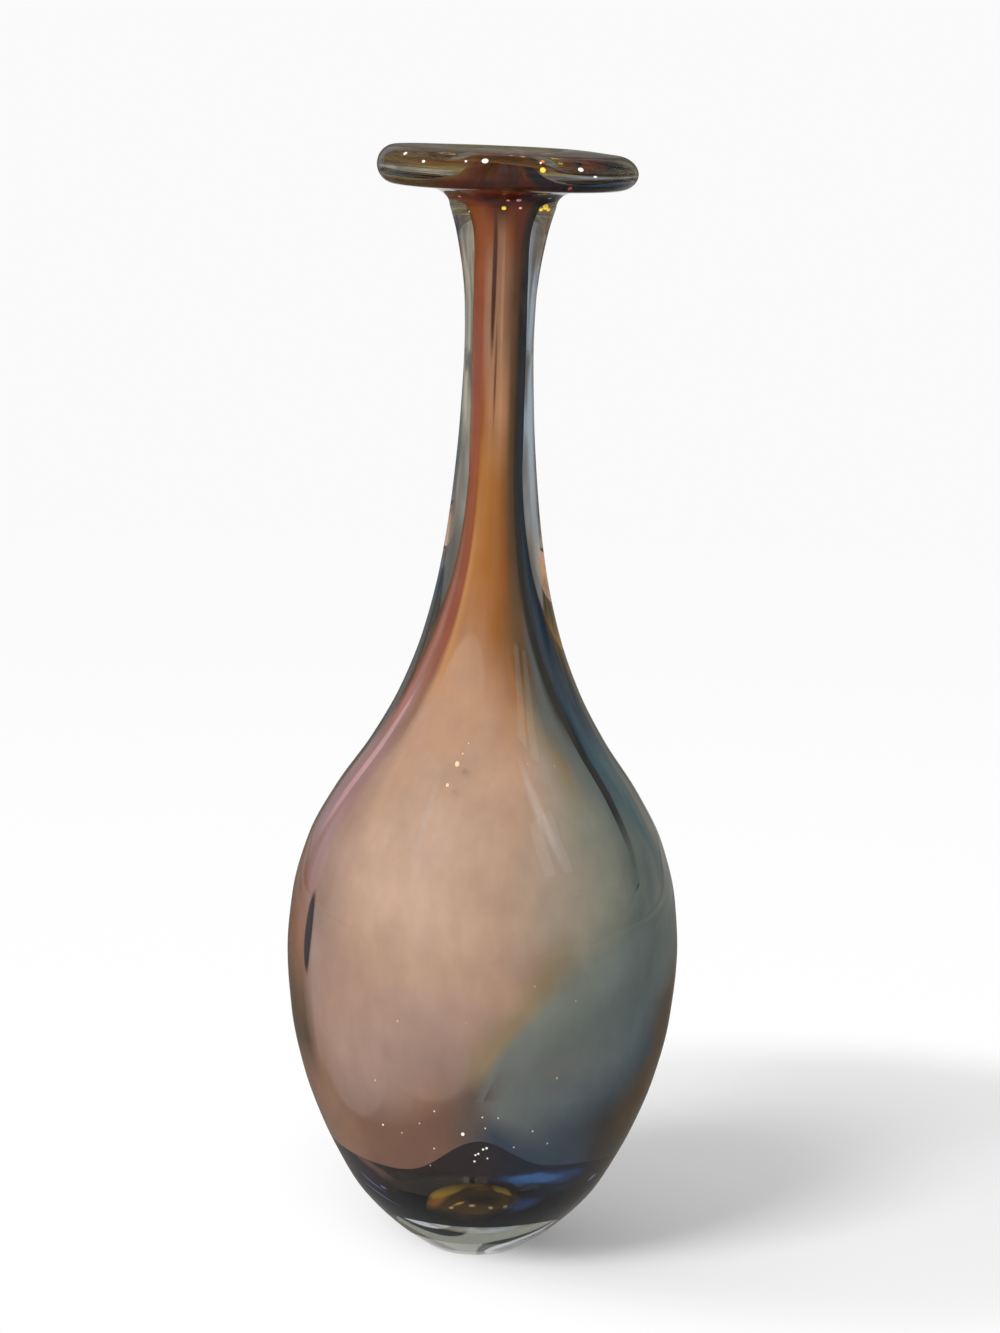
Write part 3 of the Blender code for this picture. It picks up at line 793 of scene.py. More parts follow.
def cup_rim(degrees):
    """Height of the cobalt cup's uneven rim, which peaks at the front."""
    away = (degrees + 180.0) % 360.0 - 180.0
    peak = CUP_PEAK_RISE * math.exp(-((away / CUP_PEAK_DEGREES) ** 2))
    return cup_rim_height + peak + CUP_WAVE * math.sin(math.radians(3 * degrees))


def matt_glass(tree, colour, roughness):
    """Coloured glass with no shine of its own, as it looks under clear glass."""
    look = {"Base Color": colour, "Roughness": roughness, "Specular IOR Level": 0.0}
    return added(tree, "ShaderNodeBsdfPrincipled", look).outputs[0]


cobalt, tree = empty_material("cobalt_glass")
x, y, z = object_places(tree)
azimuth = azimuth_of(tree, x, y)
wander = wander_of(tree, CUP_WANDER_SCALE, CUP_WANDER)
up = maths(tree, "MULTIPLY_ADD", z, MILLIMETRES, wander)
spot = spot_of(tree, azimuth, up)
cup_band = (
    (-180.0, CUP_BROWN),
    (-70.0, CUP_VIOLET),
    (-25.0, CUP_BROWN),
    (2.0, CUP_VIOLET),
    (18.0, CUP_NIGHT),
    (48.0, CUP_NIGHT),
    (62.0, CUP_BROWN),
    (180.0, CUP_BROWN),
)
band = coloured_ring(tree, azimuth, 0.5, cup_band)
band_share = smooth_step(tree, up, CUP_BLACK_TOP, CUP_BAND_START)
colour = colour_mix(tree, band_share, CUP_BLACK, band)
cup_patches = (
    (MAUVE_BROWN, (-48.0, 28.5, 16.0, 2.6, 20.0)),
    (COBALT, (30.0, 21.5, 16.0, 2.6)),
    (COBALT, (28.0, 29.0, 26.0, 2.6, 0.0, 1.0, 0.6)),
    # Painted backlight: the bright blue, as though light shone through thin cobalt from behind.
    (PAINTED_BACKLIT_BLUE, (25.0, 29.0, 17.0, 1.9, 0.0, 1.0, 0.5)),
    # Painted reflection: the pale, olive, black, blue-white and grey bars on the back show in the clear
    # base as its reflections.
    (PAINTED_PALE_REFLECTION, (180.0, 28.6, 52.0, 2.2, 0.0, 1.0, 0.85)),
    (PAINTED_PALE_REFLECTION, (-180.0, 28.6, 52.0, 2.2, 0.0, 1.0, 0.85)),
    (OLIVE_GOLD, (174.6, 28.6, 4.0, 4.0, 0.0, 1.0, 0.8)),
    (CUP_BLACK, (-179.4, 28.6, 0.5, 4.0, 0.0, 1.0, 0.8)),
    (PAINTED_BLUE_WHITE_REFLECTION, (-178.5, 28.6, 0.5, 4.0, 0.0, 1.0, 0.8)),
    (PAINTED_GREY_REFLECTION, (-170.0, 28.6, 8.0, 4.0, 0.0, 1.0, 0.9)),
    # Painted violet glints.
    (PAINTED_VIOLET_GLINT, (-64.0, 24.0, 4.0, 0.8, 35.0)),
    (PAINTED_VIOLET_GLINT, (-57.0, 23.0, 2.5, 0.6)),
    (PAINTED_VIOLET_GLINT, (-74.0, 21.4, 4.0, 0.7, 30.0)),
    (PAINTED_VIOLET_GLINT, (66.0, 26.0, 2.5, 1.4)),
)
colour = patched(tree, colour, spot, cup_patches)
body = matt_glass(tree, colour, CUP_ROUGHNESS)
thin = added(tree, "ShaderNodeBsdfTransparent", {"Color": THIN_COBALT}).outputs[0]
thin_places = ((-8.0, 24.0, 46.0, 7.6), (116.0, 24.0, 40.0, 6.0), (-124.0, 24.0, 40.0, 6.0))
thinness = oval(tree, spot, *thin_places[0])
for places in thin_places[1:]:
    thinness = maths(tree, "MAXIMUM", thinness, oval(tree, spot, *places))
thinness = maths(tree, "MINIMUM", maths(tree, "MULTIPLY", thinness, THIN_SPREAD), THIN_MOST)
shown(tree, lit_through(tree, two_shaders(tree, thinness, body, thin)))

start = between(bubble_floor, bubble_corner_top, CUP_FLOOR_SHARE)
section = core_section()
floor = [p for p in section if p[1] < start]
outer_rings = round_rings(floor)
inner_rings = round_rings(inwards(section, overlay_depth)[: len(floor)])
for i in range(CUP_RINGS + 1):
    outer_ring = []
    inner_ring = []
    for k in range(RINGS_AROUND):
        degrees = 360.0 * k / RINGS_AROUND
        height = between(start, cup_rim(degrees), i / CUP_RINGS)
        radius, inner_height = under_core(height, OVERLAY_BODY_WALL)
        outer_ring.append(placed(core_radius(height), height, degrees))
        inner_ring.append(placed(radius, inner_height, degrees))
    outer_rings.append(outer_ring)
    inner_rings.append(inner_ring)
cup = glass_body(
    "cobalt_base",
    outer_rings + inner_rings[::-1],
    [(cobalt, len(outer_rings) - 1), (fused, len(inner_rings))],
)
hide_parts("cobalt_cup")

# Peach overlay: the widest of the colour overlays, at the front left. They are strips of
# coloured glass laid side by side on the bubble and drawn out with it, so their streaks
# run along them. On the body they are milky, and in the neck they are clear and deep.
PEACH_ROSE_SEAM_SHARES = (
    (0.0, -60.0),
    (0.33, -62.0),
    (0.50, -60.0),
    (0.60, -55.0),
    (0.75, -50.0),
    (1.0, -48.0),
)
PEACH_RIGHT_SEAM_SHARES = (
    (0.0, -4.0),
    (0.13, -4.0),
    (0.175, -2.0),
    (0.205, 1.0),
    (0.27, 16.0),
    (0.335, 27.0),
    (0.45, 32.0),
    (0.55, 35.0),
    (1.0, 38.0),
)
COLUMN_DEGREES = 2.0
STREAK_ROUGHNESS = 0.6
NECK_CLEAR = 0.06
LIP_CLEAR_START = 0.3025
LIP_CLEAR_END = 0.3095
WAVE_SCALE = 38.0
WAVE_STRETCH = 0.35
WAVE_ACROSS = 0.11
WAVE_UP = 0.010
WAVE_DEGREES = 5.0
WAVE_MILLIMETRES = 5.0
CLOUD_SCALE = 62.0
CLOUD_STRETCH = 0.8
CLOUD_CONTRAST = 0.46
CLOUD_DARKEST = 0.75
FIBRE_SCALE = 260.0
FIBRE_STRETCH = 0.45
FIBRE_CONTRAST = 0.22
FIBRE_DARKEST = 0.89
FINE_DETAIL = 8.0

settled = cup_rim_height + CUP_SETTLE_HEIGHT


def streaked_glass(name, sides, rows, patches, lip_clear):
    """Milky glass in gently waved streaks, clearer in the neck and clearest out in the lip.

    rows are (height, (azimuth, colour) pairs), and run into each other upwards. patches
    are ovals of other colours on them.
    """
    material, tree = empty_material(name)
    low_side, high_side = sides
    mapped = added(tree, "ShaderNodeUVMap", uv_map="streaks").outputs[0]
    place = added(tree, "ShaderNodeSeparateXYZ", {0: mapped}).outputs
    wave = maths(tree, "SUBTRACT", mottle(tree, WAVE_SCALE, WAVE_STRETCH), 0.5)
    across = maths(tree, "MULTIPLY_ADD", wave, WAVE_ACROSS, place[0])
    up = maths(tree, "MULTIPLY_ADD", wave, WAVE_UP, place[1])
    for i, (height, stops) in enumerate(rows):
        low = low_side(height / VASE_HEIGHT)
        width = high_side(height / VASE_HEIGHT) - low
        shares = [(min(max((turn - low) / width, 0.0), 1.0), tint) for turn, tint in stops]
        laid = ramp(tree, across, shares)
        if i == 0:
            colour = laid
            continue
        rise = {"Value": up, "From Min": rows[i - 1][0], "From Max": height}
        step = added(tree, "ShaderNodeMapRange", rise).outputs[0]
        colour = colour_mix(tree, step, colour, laid)
    x, y, z = object_places(tree)
    azimuth = maths(tree, "MULTIPLY_ADD", wave, WAVE_DEGREES, azimuth_of(tree, x, y))
    wander = maths(tree, "MULTIPLY", wave, WAVE_MILLIMETRES)
    spot = spot_of(tree, azimuth, maths(tree, "MULTIPLY_ADD", z, MILLIMETRES, wander))
    colour = patched(tree, colour, spot, patches)
    clouds = mottle(tree, CLOUD_SCALE, CLOUD_STRETCH, FINE_DETAIL)
    cloud = maths(tree, "MULTIPLY_ADD", clouds, CLOUD_CONTRAST, CLOUD_DARKEST)
    fibres = mottle(tree, FIBRE_SCALE, FIBRE_STRETCH, FINE_DETAIL)
    fibre = maths(tree, "MULTIPLY_ADD", fibres, FIBRE_CONTRAST, FIBRE_DARKEST)
    shade = maths(tree, "MULTIPLY", cloud, fibre)
    shaded = added(tree, "ShaderNodeVectorMath", {0: colour, "Scale": shade}, operation="SCALE")
    body = matt_glass(tree, shaded.outputs[0], STREAK_ROUGHNESS)
    pale = colour_mix(tree, 0.5, colour, WHITE)
    clear = added(tree, "ShaderNodeBsdfTransparent", {"Color": pale}).outputs[0]
    neck = smooth_step(tree, up, BELLY_HEIGHT, waist_height, NECK_CLEAR)
    lip = smooth_step(tree, up, LIP_CLEAR_START, LIP_CLEAR_END, lip_clear - NECK_CLEAR)
    shown(tree, two_shaders(tree, maths(tree, "ADD", neck, lip), body, clear))
    return material


def overlay(name, node, slot, sides, rows, patches=(), lip_clear=0.9, start_share=0.0, end_share=1.0):
    """A strip of streaked glass in the layer between casing and lining.

    sides give its two edges' azimuths by height share. It starts on the cup's rim, or at a
    higher start, and runs to the coat's rim, or to a lower end.
    """
    low_side, high_side = sides
    material = streaked_glass(slot, sides, rows, patches, lip_clear)
    low_end = max(start_share * VASE_HEIGHT, cup_rim_height)
    high_end = min(end_share * VASE_HEIGHT, trumpet_start)
    section = [(wall_radius(h), h) for h in heights_between(low_end, high_end)]
    if end_share == 1.0:
        section += flare(CORE_NECK_RADIUS, coat_radius, disc_height, TRUMPET_FULLNESS)
    insides = inwards(section, overlay_depth)
    shares = [height / VASE_HEIGHT for radius, height in section]
    widest = max(high_side(share) - low_side(share) for share in shares)
    columns = max(math.ceil(widest / COLUMN_DEGREES), 2)
    outer_rings = []
    inner_rings = []
    across = []
    for (radius, height), inner, share in zip(section, insides, shares):
        outer_ring = []
        inner_ring = []
        for k in range(columns + 1):
            degrees = between(low_side(share), high_side(share), k / columns)
            if height >= settled:
                outer_ring.append(placed(radius, height, degrees))
                inner_ring.append(placed(*inner, degrees))
                continue
            left = 1 - eased(height, cup_rim_height, settled)
            lifted = height + left * (cup_rim(degrees) - cup_rim_height)
            outer_ring.append(placed(core_radius(lifted), lifted, degrees))
            inner_ring.append(placed(*under_core(lifted, OVERLAY_BODY_WALL), degrees))
        outer_rings.append(outer_ring)
        inner_rings.append(inner_ring)
        run_out = max(radius - CORE_NECK_RADIUS, 0.0) if height > trumpet_start else 0.0
        across.append(height + run_out)
    piece = glass_body(
        name,
        outer_rings + inner_rings[::-1],
        [(material, len(outer_rings) - 1), (fused, len(inner_rings) + 1)],
        looped=True,
        sector=True,
        across=across + across[::-1],
    )
    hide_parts(node)


TERRACOTTA = tone(124, 90, 74)
CLAY = tone(148, 111, 89)
DUSTY_ROSE = tone(152, 123, 109)
ROSE_PEACH = tone(172, 139, 122)
PEACH = tone(189, 155, 132)
PALE_PEACH = tone(202, 168, 147)
WARM_PEACH = tone(190, 150, 124)
APRICOT = tone(183, 137, 103)
AMBER = tone(171, 113, 58)
DEEP_AMBER = tone(158, 98, 44)
GOLD_EDGE = tone(189, 136, 86)
TAN = tone(174, 123, 86)
PALE_TAN = tone(186, 138, 105)
NECK_BROWN = tone(156, 114, 88)
COPPER = tone(148, 84, 44)
BRICK = tone(145, 78, 54)
BRICK_CLAY = tone(144, 98, 74)
DARK_STREAK = tone(76, 48, 37)
STREAK_BROWN = tone(108, 72, 54)
UMBER = tone(108, 80, 54)
OCHRE = tone(146, 125, 96)
WARM_GREY = tone(163, 148, 132)
SEAM_BROWN = tone(100, 84, 76)
RUST = tone(150, 82, 38)
DEEP_RUST = tone(112, 52, 24)
RUST_CORE = tone(70, 28, 12)
ORANGE_STREAK = tone(188, 118, 62)
PALE_LINE = tone(196, 178, 168)
PALE_MAUVE = tone(170, 142, 132)
ARCH_PEACH = tone(190, 147, 117)
KHAKI = tone(150, 132, 84)

rose_right = smooth_curve(PEACH_ROSE_SEAM_SHARES)
peach_right = smooth_curve(PEACH_RIGHT_SEAM_SHARES)

# On the body these rows also hold painted shade and a painted glow: they darken towards the strip's left
# edge and towards the bottom, and are palest at the front centre.
peach_rows = (
    (0.034, ((-60, CLAY), (-45, TERRACOTTA), (-12, TERRACOTTA), (-4, SEAM_BROWN))),
    (0.044, ((-60, CLAY), (-35, TERRACOTTA), (-12, TERRACOTTA), (-4, SEAM_BROWN))),
    (0.053, ((-60, CLAY), (-46, DUSTY_ROSE), (-30, DUSTY_ROSE), (-16, CLAY), (-2, SEAM_BROWN))),
    (0.063, ((-61, CLAY), (-48, ROSE_PEACH), (-10, DUSTY_ROSE), (1, OCHRE))),
    (0.076, ((-61, DUSTY_ROSE), (-50, ROSE_PEACH), (0, ROSE_PEACH), (11, OCHRE))),
    (0.088, ((-62, DUSTY_ROSE), (-45, ROSE_PEACH), (-20, PEACH), (8, ROSE_PEACH), (20, OCHRE))),
    (0.101, ((-62, DUSTY_ROSE), (-42, PEACH), (-20, PALE_PEACH), (4, PEACH), (26, WARM_GREY))),
    (0.119, ((-62, ROSE_PEACH), (-46, PEACH), (-22, PALE_PEACH), (9, PEACH), (29, WARM_GREY))),
    (0.137, ((-61, ROSE_PEACH), (-50, WARM_PEACH), (-20, PEACH), (16, WARM_PEACH), (32, WARM_GREY))),
    (0.151, ((-60, CLAY), (-53, WARM_PEACH), (-6, WARM_PEACH), (14, APRICOT), (33, OCHRE))),
    (0.162, ((-58, BRICK_CLAY), (-51, GOLD_EDGE), (-40, APRICOT), (-8, APRICOT), (6, TAN), (34, UMBER))),
    (0.173, ((-57, BRICK), (-50, GOLD_EDGE), (-40, TAN), (-10, TAN), (4, DEEP_AMBER), (35, UMBER))),
    (0.190, ((-54, BRICK), (-47, GOLD_EDGE), (-36, AMBER), (12, DEEP_AMBER), (25, COPPER), (36, UMBER))),
    (0.212, ((-52, COPPER), (-42, AMBER), (-20, AMBER), (10, DEEP_AMBER), (36, UMBER))),
    (0.232, ((-50, BRICK), (-40, COPPER), (-20, TAN), (-6, TAN), (9, PALE_TAN), (24, TAN), (37, UMBER))),
    (0.252, ((-50, BRICK), (-40, NECK_BROWN), (-18, NECK_BROWN), (8, NECK_BROWN), (37, UMBER))),
    (0.270, ((-49, BRICK), (-32, NECK_BROWN), (6, NECK_BROWN), (22, BRICK_CLAY), (38, UMBER))),
    (0.281, ((-48, RUST), (-36, COPPER), (-20, RUST), (0, NECK_BROWN), (20, RUST), (38, DEEP_RUST))),
    (0.289, ((-48, RUST), (-22, DEEP_RUST), (0, RUST_CORE), (18, DEEP_RUST), (38, DEEP_RUST))),
    (0.295, ((-48, DEEP_RUST), (-24, RUST_CORE), (20, RUST_CORE), (38, DEEP_RUST))),
    (0.300, ((-48, RUST), (-26, RUST_CORE), (24, RUST_CORE), (38, DEEP_RUST))),
    (0.304, ((-48, RUST), (38, RUST))),
    (0.309, ((-48, KHAKI), (38, KHAKI))),
)
peach_patches = (
    (ARCH_PEACH, (-26.0, 156.0, 24.0, 18.0, 0.0, 0.8, 0.8)),
    # The dark streaks down the neck are a painted reflection of the bore.
    (DARK_STREAK, (-17.0, 268.0, 8.0, 27.0, 8.0, 1.0, 0.5)),
    (STREAK_BROWN, (-8.0, 242.0, 4.5, 20.0, 6.0)),
    (PALE_TAN, (6.0, 262.0, 6.0, 26.0, 0.0, 0.7)),
    (ORANGE_STREAK, (23.0, 156.0, 5.0, 18.0, -18.0, 0.35)),
    (PALE_LINE, (22.0, 128.0, 3.0, 16.0, -22.0, 0.55)),
    # A painted glow at the front centre.
    (PALE_PEACH, (-22.0, 108.0, 26.0, 18.0, 0.0, 0.2)),
    (WARM_PEACH, (4.0, 84.0, 12.0, 9.0, 25.0, 0.5)),
    (PALE_LINE, (-24.0, 126.0, 2.5, 14.0, 4.0, 0.25)),
    (PALE_MAUVE, (-44.0, 60.0, 15.0, 16.0, 0.0, 0.35, 0.85)),
    (PALE_MAUVE, (-20.0, 68.0, 20.0, 15.0, 40.0, 0.3, 0.85)),
    (PALE_MAUVE, (-60.0, 76.0, 5.0, 22.0, 0.0, 0.4, 0.6)),
)
sides = (rose_right, peach_right)
overlay("peach_strip", "peach_overlay", "peach_glass", sides, peach_rows, peach_patches)

# Rose overlay: brick red in the neck, a pink band on the left shoulder with a painted
# highlight over it, and mauve on the body, with a dark cord near its edge where two gathers
# met.
ROSE_OLIVE_SEAM_SHARES = ((0.0, -90.0), (0.45, -90.0), (0.60, -95.0), (1.0, -100.0))
PINK = tone(170, 114, 102)
PINK_MAUVE = tone(162, 125, 122)
PAINTED_PINK_HIGHLIGHT = tone(204, 160, 162)
LILAC = tone(172, 142, 142)
RIM_RUST = tone(132, 74, 32)
OLIVE_BROWN = tone(84, 63, 38)
DARK_CORD = tone(42, 26, 20)
LIP_OLIVE = tone(120, 92, 40)

rose_left = smooth_curve(ROSE_OLIVE_SEAM_SHARES)

rose_rows = (
    (0.034, ((-90, CLAY), (-60, CLAY))),
    (0.050, ((-90, CLAY), (-74, BRICK_CLAY), (-60, CLAY))),
    (0.062, ((-90, DUSTY_ROSE), (-80, OLIVE_BROWN), (-67, OLIVE_BROWN), (-61, CLAY))),
    (0.074, ((-90, OLIVE_BROWN), (-78, UMBER), (-68, UMBER), (-61, DUSTY_ROSE))),
    (0.088, ((-90, UMBER), (-80, BRICK_CLAY), (-68, BRICK_CLAY), (-61, DUSTY_ROSE))),
    (0.102, ((-90, CLAY), (-78, BRICK_CLAY), (-69, BRICK_CLAY), (-62, DUSTY_ROSE))),
    (0.118, ((-90, BRICK_CLAY), (-77, PINK_MAUVE), (-68, PINK_MAUVE), (-62, ROSE_PEACH))),
    (0.136, ((-90, CLAY), (-80, PINK_MAUVE), (-66, PINK_MAUVE), (-61, ROSE_PEACH))),
    (0.150, ((-91, OLIVE_BROWN), (-81, PINK), (-72, PINK_MAUVE), (-64, CLAY), (-60, CLAY))),
    (0.163, ((-92, RIM_RUST), (-80, PINK), (-71, BRICK_CLAY), (-62, BRICK), (-58, BRICK_CLAY))),
    (0.176, ((-94, RIM_RUST), (-80, PINK), (-70, BRICK), (-56, BRICK))),
    (0.192, ((-96, RIM_RUST), (-80, BRICK_CLAY), (-70, BRICK), (-60, COPPER), (-54, BRICK))),
    (0.212, ((-97, RIM_RUST), (-72, BRICK), (-52, COPPER))),
    (0.232, ((-97, NECK_BROWN), (-84, BRICK_CLAY), (-72, BRICK), (-50, BRICK))),
    (0.262, ((-98, BRICK), (-70, BRICK), (-49, BRICK))),
    (0.287, ((-100, DEEP_RUST), (-70, RUST), (-48, RUST))),
    (0.297, ((-100, RIM_RUST), (-48, DEEP_RUST))),
    (0.304, ((-100, LIP_OLIVE), (-72, RIM_RUST), (-48, RUST_CORE))),
    (0.314, ((-100, LIP_OLIVE), (-48, LIP_OLIVE))),
)
rose_patches = (
    (LILAC, (-68.0, 112.0, 5.0, 18.0, 0.0, 0.3, 0.5)),
    (DARK_CORD, (-65.0, 91.5, 2.7, 12.0, -3.0, 1.0, 0.7)),
    # Painted pink highlight on the left shoulder.
    (PAINTED_PINK_HIGHLIGHT, (-75.0, 136.0, 3.8, 23.0, 4.0, 0.9, 0.5)),
)
sides = (rose_left, rose_right)
overlay("rose_strip", "rose_overlay", "rose_glass", sides, rose_rows, rose_patches, lip_clear=0.6)

# Olive, amber and umber overlays: they close the ring behind, and show from the front
# only as the dark line along the left edge.
OLIVE_AMBER_SEAM_SHARES = ((0.0, -128.0), (1.0, -128.0))
AMBER_UMBER_SEAM_SHARES = ((0.0, -188.0), (0.4, -180.0), (1.0, -185.0))
UMBER_TEAL_SEAM_SHARES = ((0.0, 132.0), (0.5, 124.0), (1.0, 126.0))
OLIVE = tone(74, 64, 34)
DEEP_OLIVE_GLASS = tone(50, 46, 26)
HONEY = tone(178, 126, 60)
WALNUT = tone(92, 64, 42)


def full_turn_on(side):
    return lambda share: side(share) + 360.0


olive_left = smooth_curve(OLIVE_AMBER_SEAM_SHARES)
amber_left = smooth_curve(AMBER_UMBER_SEAM_SHARES)
teal_right = smooth_curve(UMBER_TEAL_SEAM_SHARES)
umber_right = full_turn_on(amber_left)

olive_rows = (
    (0.036, ((-128, OLIVE), (-108, OLIVE_BROWN), (-90, CLAY))),
    (0.060, ((-128, OLIVE), (-104, DEEP_OLIVE_GLASS), (-90, OLIVE_BROWN))),
    (0.085, ((-128, OLIVE_BROWN), (-104, OLIVE), (-90, UMBER))),
    (0.120, ((-128, OCHRE), (-112, OLIVE_BROWN), (-98, OLIVE), (-90, BRICK_CLAY))),
    (0.150, ((-128, OLIVE_BROWN), (-108, OLIVE), (-91, OLIVE_BROWN))),
    (0.190, ((-128, OLIVE), (-112, OLIVE), (-96, RIM_RUST))),
    (0.215, ((-128, OLIVE), (-112, OLIVE), (-97, RIM_RUST))),
    (0.250, ((-128, AMBER), (-112, OLIVE_BROWN), (-98, BRICK))),
    (0.290, ((-128, LIP_OLIVE), (-100, DEEP_RUST))),
    (0.304, ((-128, LIP_OLIVE), (-100, LIP_OLIVE))),
)
sides = (olive_left, rose_left)
overlay("olive_strip", "olive_overlay", "olive_glass", sides, olive_rows, lip_clear=0.6)

amber_rows = (
    (0.036, ((-188, WALNUT), (-158, UMBER), (-128, OLIVE))),
    (0.062, ((-186, UMBER), (-160, OCHRE), (-140, UMBER), (-128, OLIVE))),
    (0.092, ((-184, OCHRE), (-160, APRICOT), (-140, OCHRE), (-128, OLIVE_BROWN))),
    (0.125, ((-180, OCHRE), (-162, WARM_PEACH), (-144, APRICOT), (-128, OCHRE))),
    (0.150, ((-181, UMBER), (-162, HONEY), (-146, UMBER), (-128, OLIVE_BROWN))),
    (0.165, ((-181, WALNUT), (-162, OLIVE_BROWN), (-146, OLIVE), (-128, OLIVE))),
    (0.215, ((-182, WALNUT), (-160, OLIVE_BROWN), (-128, OLIVE))),
    (0.250, ((-184, COPPER), (-158, AMBER), (-128, AMBER))),
    (0.282, ((-185, RUST_CORE), (-156, DEEP_RUST), (-128, LIP_OLIVE))),
    (0.296, ((-185, RUST_CORE), (-156, DEEP_RUST), (-128, LIP_OLIVE))),
    (0.304, ((-185, KHAKI), (-128, KHAKI))),
)
sides = (amber_left, olive_left)
overlay("amber_strip", "amber_overlay", "amber_glass", sides, amber_rows, lip_clear=0.7)

umber_rows = (
    (0.036, ((132, DEEP_OLIVE_GLASS), (150, OLIVE), (172, WALNUT))),
    (0.062, ((131, OLIVE), (152, OLIVE_BROWN), (174, UMBER))),
    (0.092, ((129, OLIVE_BROWN), (150, UMBER), (176, OCHRE))),
    (0.125, ((126, OLIVE_BROWN), (148, UMBER), (162, OCHRE), (180, OCHRE))),
    (0.150, ((124, OLIVE_BROWN), (150, WALNUT), (168, UMBER), (179, UMBER))),
    (0.165, ((124, OLIVE), (150, OLIVE), (168, OLIVE_BROWN), (179, WALNUT))),
    (0.215, ((124, OLIVE), (150, DARK_STREAK), (178, WALNUT))),
    (0.250, ((125, DARK_STREAK), (150, WALNUT), (176, COPPER))),
    (0.282, ((126, DARK_STREAK), (152, RUST_CORE), (175, RUST_CORE))),
    (0.296, ((126, DARK_STREAK), (152, RUST_CORE), (175, RUST_CORE))),
    (0.304, ((126, KHAKI), (175, KHAKI))),
)
sides = (teal_right, umber_right)
overlay("umber_strip", "umber_overlay", "umber_glass", sides, umber_rows, lip_clear=0.7)

# Teal overlay with the gold trail, the smoke band and the ink thread: navy in the neck, a
# blue band on the right shoulder and milky grey green on the body. The trail was laid on
# the seam to the peach, and the thread runs out on the shoulder.
SMOKE_RIGHT_SEAM_SHARES = (
    (0.3575, 58.0),
    (0.42, 59.0),
    (0.48, 58.0),
    (0.54, 56.0),
    (0.60, 53.0),
    (0.67, 50.0),
    (1.0, 48.0),
)
TRAIL_WIDTH_SHARES = (
    (0.0, 2.5),
    (0.165, 4.0),
    (0.25, 7.0),
    (0.30, 14.0),
    (0.335, 24.0),
    (0.355, 30.5),
)
INK_WIDTH_SHARES = (
    (0.3575, 2.0),
    (0.42, 5.0),
    (0.50, 8.0),
    (0.60, 11.0),
    (0.67, 15.0),
    (1.0, 20.0),
)
TRAIL_START_SHARE = 0.165
TRAIL_END_SHARE = 0.356
SLATE = tone(98, 108, 111)
MIST = tone(108, 111, 108)
DEEP_SLATE = tone(68, 79, 88)
BLUE_SLATE = tone(56, 67, 82)
SMOKE_BROWN = tone(54, 50, 48)
GREEN_GREY = tone(124, 127, 117)
SAGE = tone(143, 142, 128)
GREEN_SLATE = tone(102, 112, 109)
SEA_GREY = tone(118, 126, 124)
TEAL_BLUE = tone(78, 106, 114)
BLUE = tone(54, 86, 102)
DEEP_BLUE = tone(26, 60, 84)
NAVY = tone(38, 56, 76)
BLUE_INK = tone(24, 44, 60)
INK = tone(42, 44, 44)
INK_BROWN = tone(60, 50, 44)
NECK_UMBER = tone(92, 70, 54)
LIP_NAVY = tone(22, 26, 40)


def sum_of(*sides):
    return lambda share: sum(side(share) for side in sides)


trail_right = sum_of(peach_right, smooth_curve(TRAIL_WIDTH_SHARES))
smoke_right = smooth_curve(SMOKE_RIGHT_SEAM_SHARES)
ink_right = sum_of(smoke_right, smooth_curve(INK_WIDTH_SHARES))


def teal_left(share):
    """The teal overlay's left edge: the trail's seam below, the ink thread's above."""
    if share < TRAIL_START_SHARE:
        return peach_right(share)
    return trail_right(share) if share < TRAIL_END_SHARE else ink_right(share)


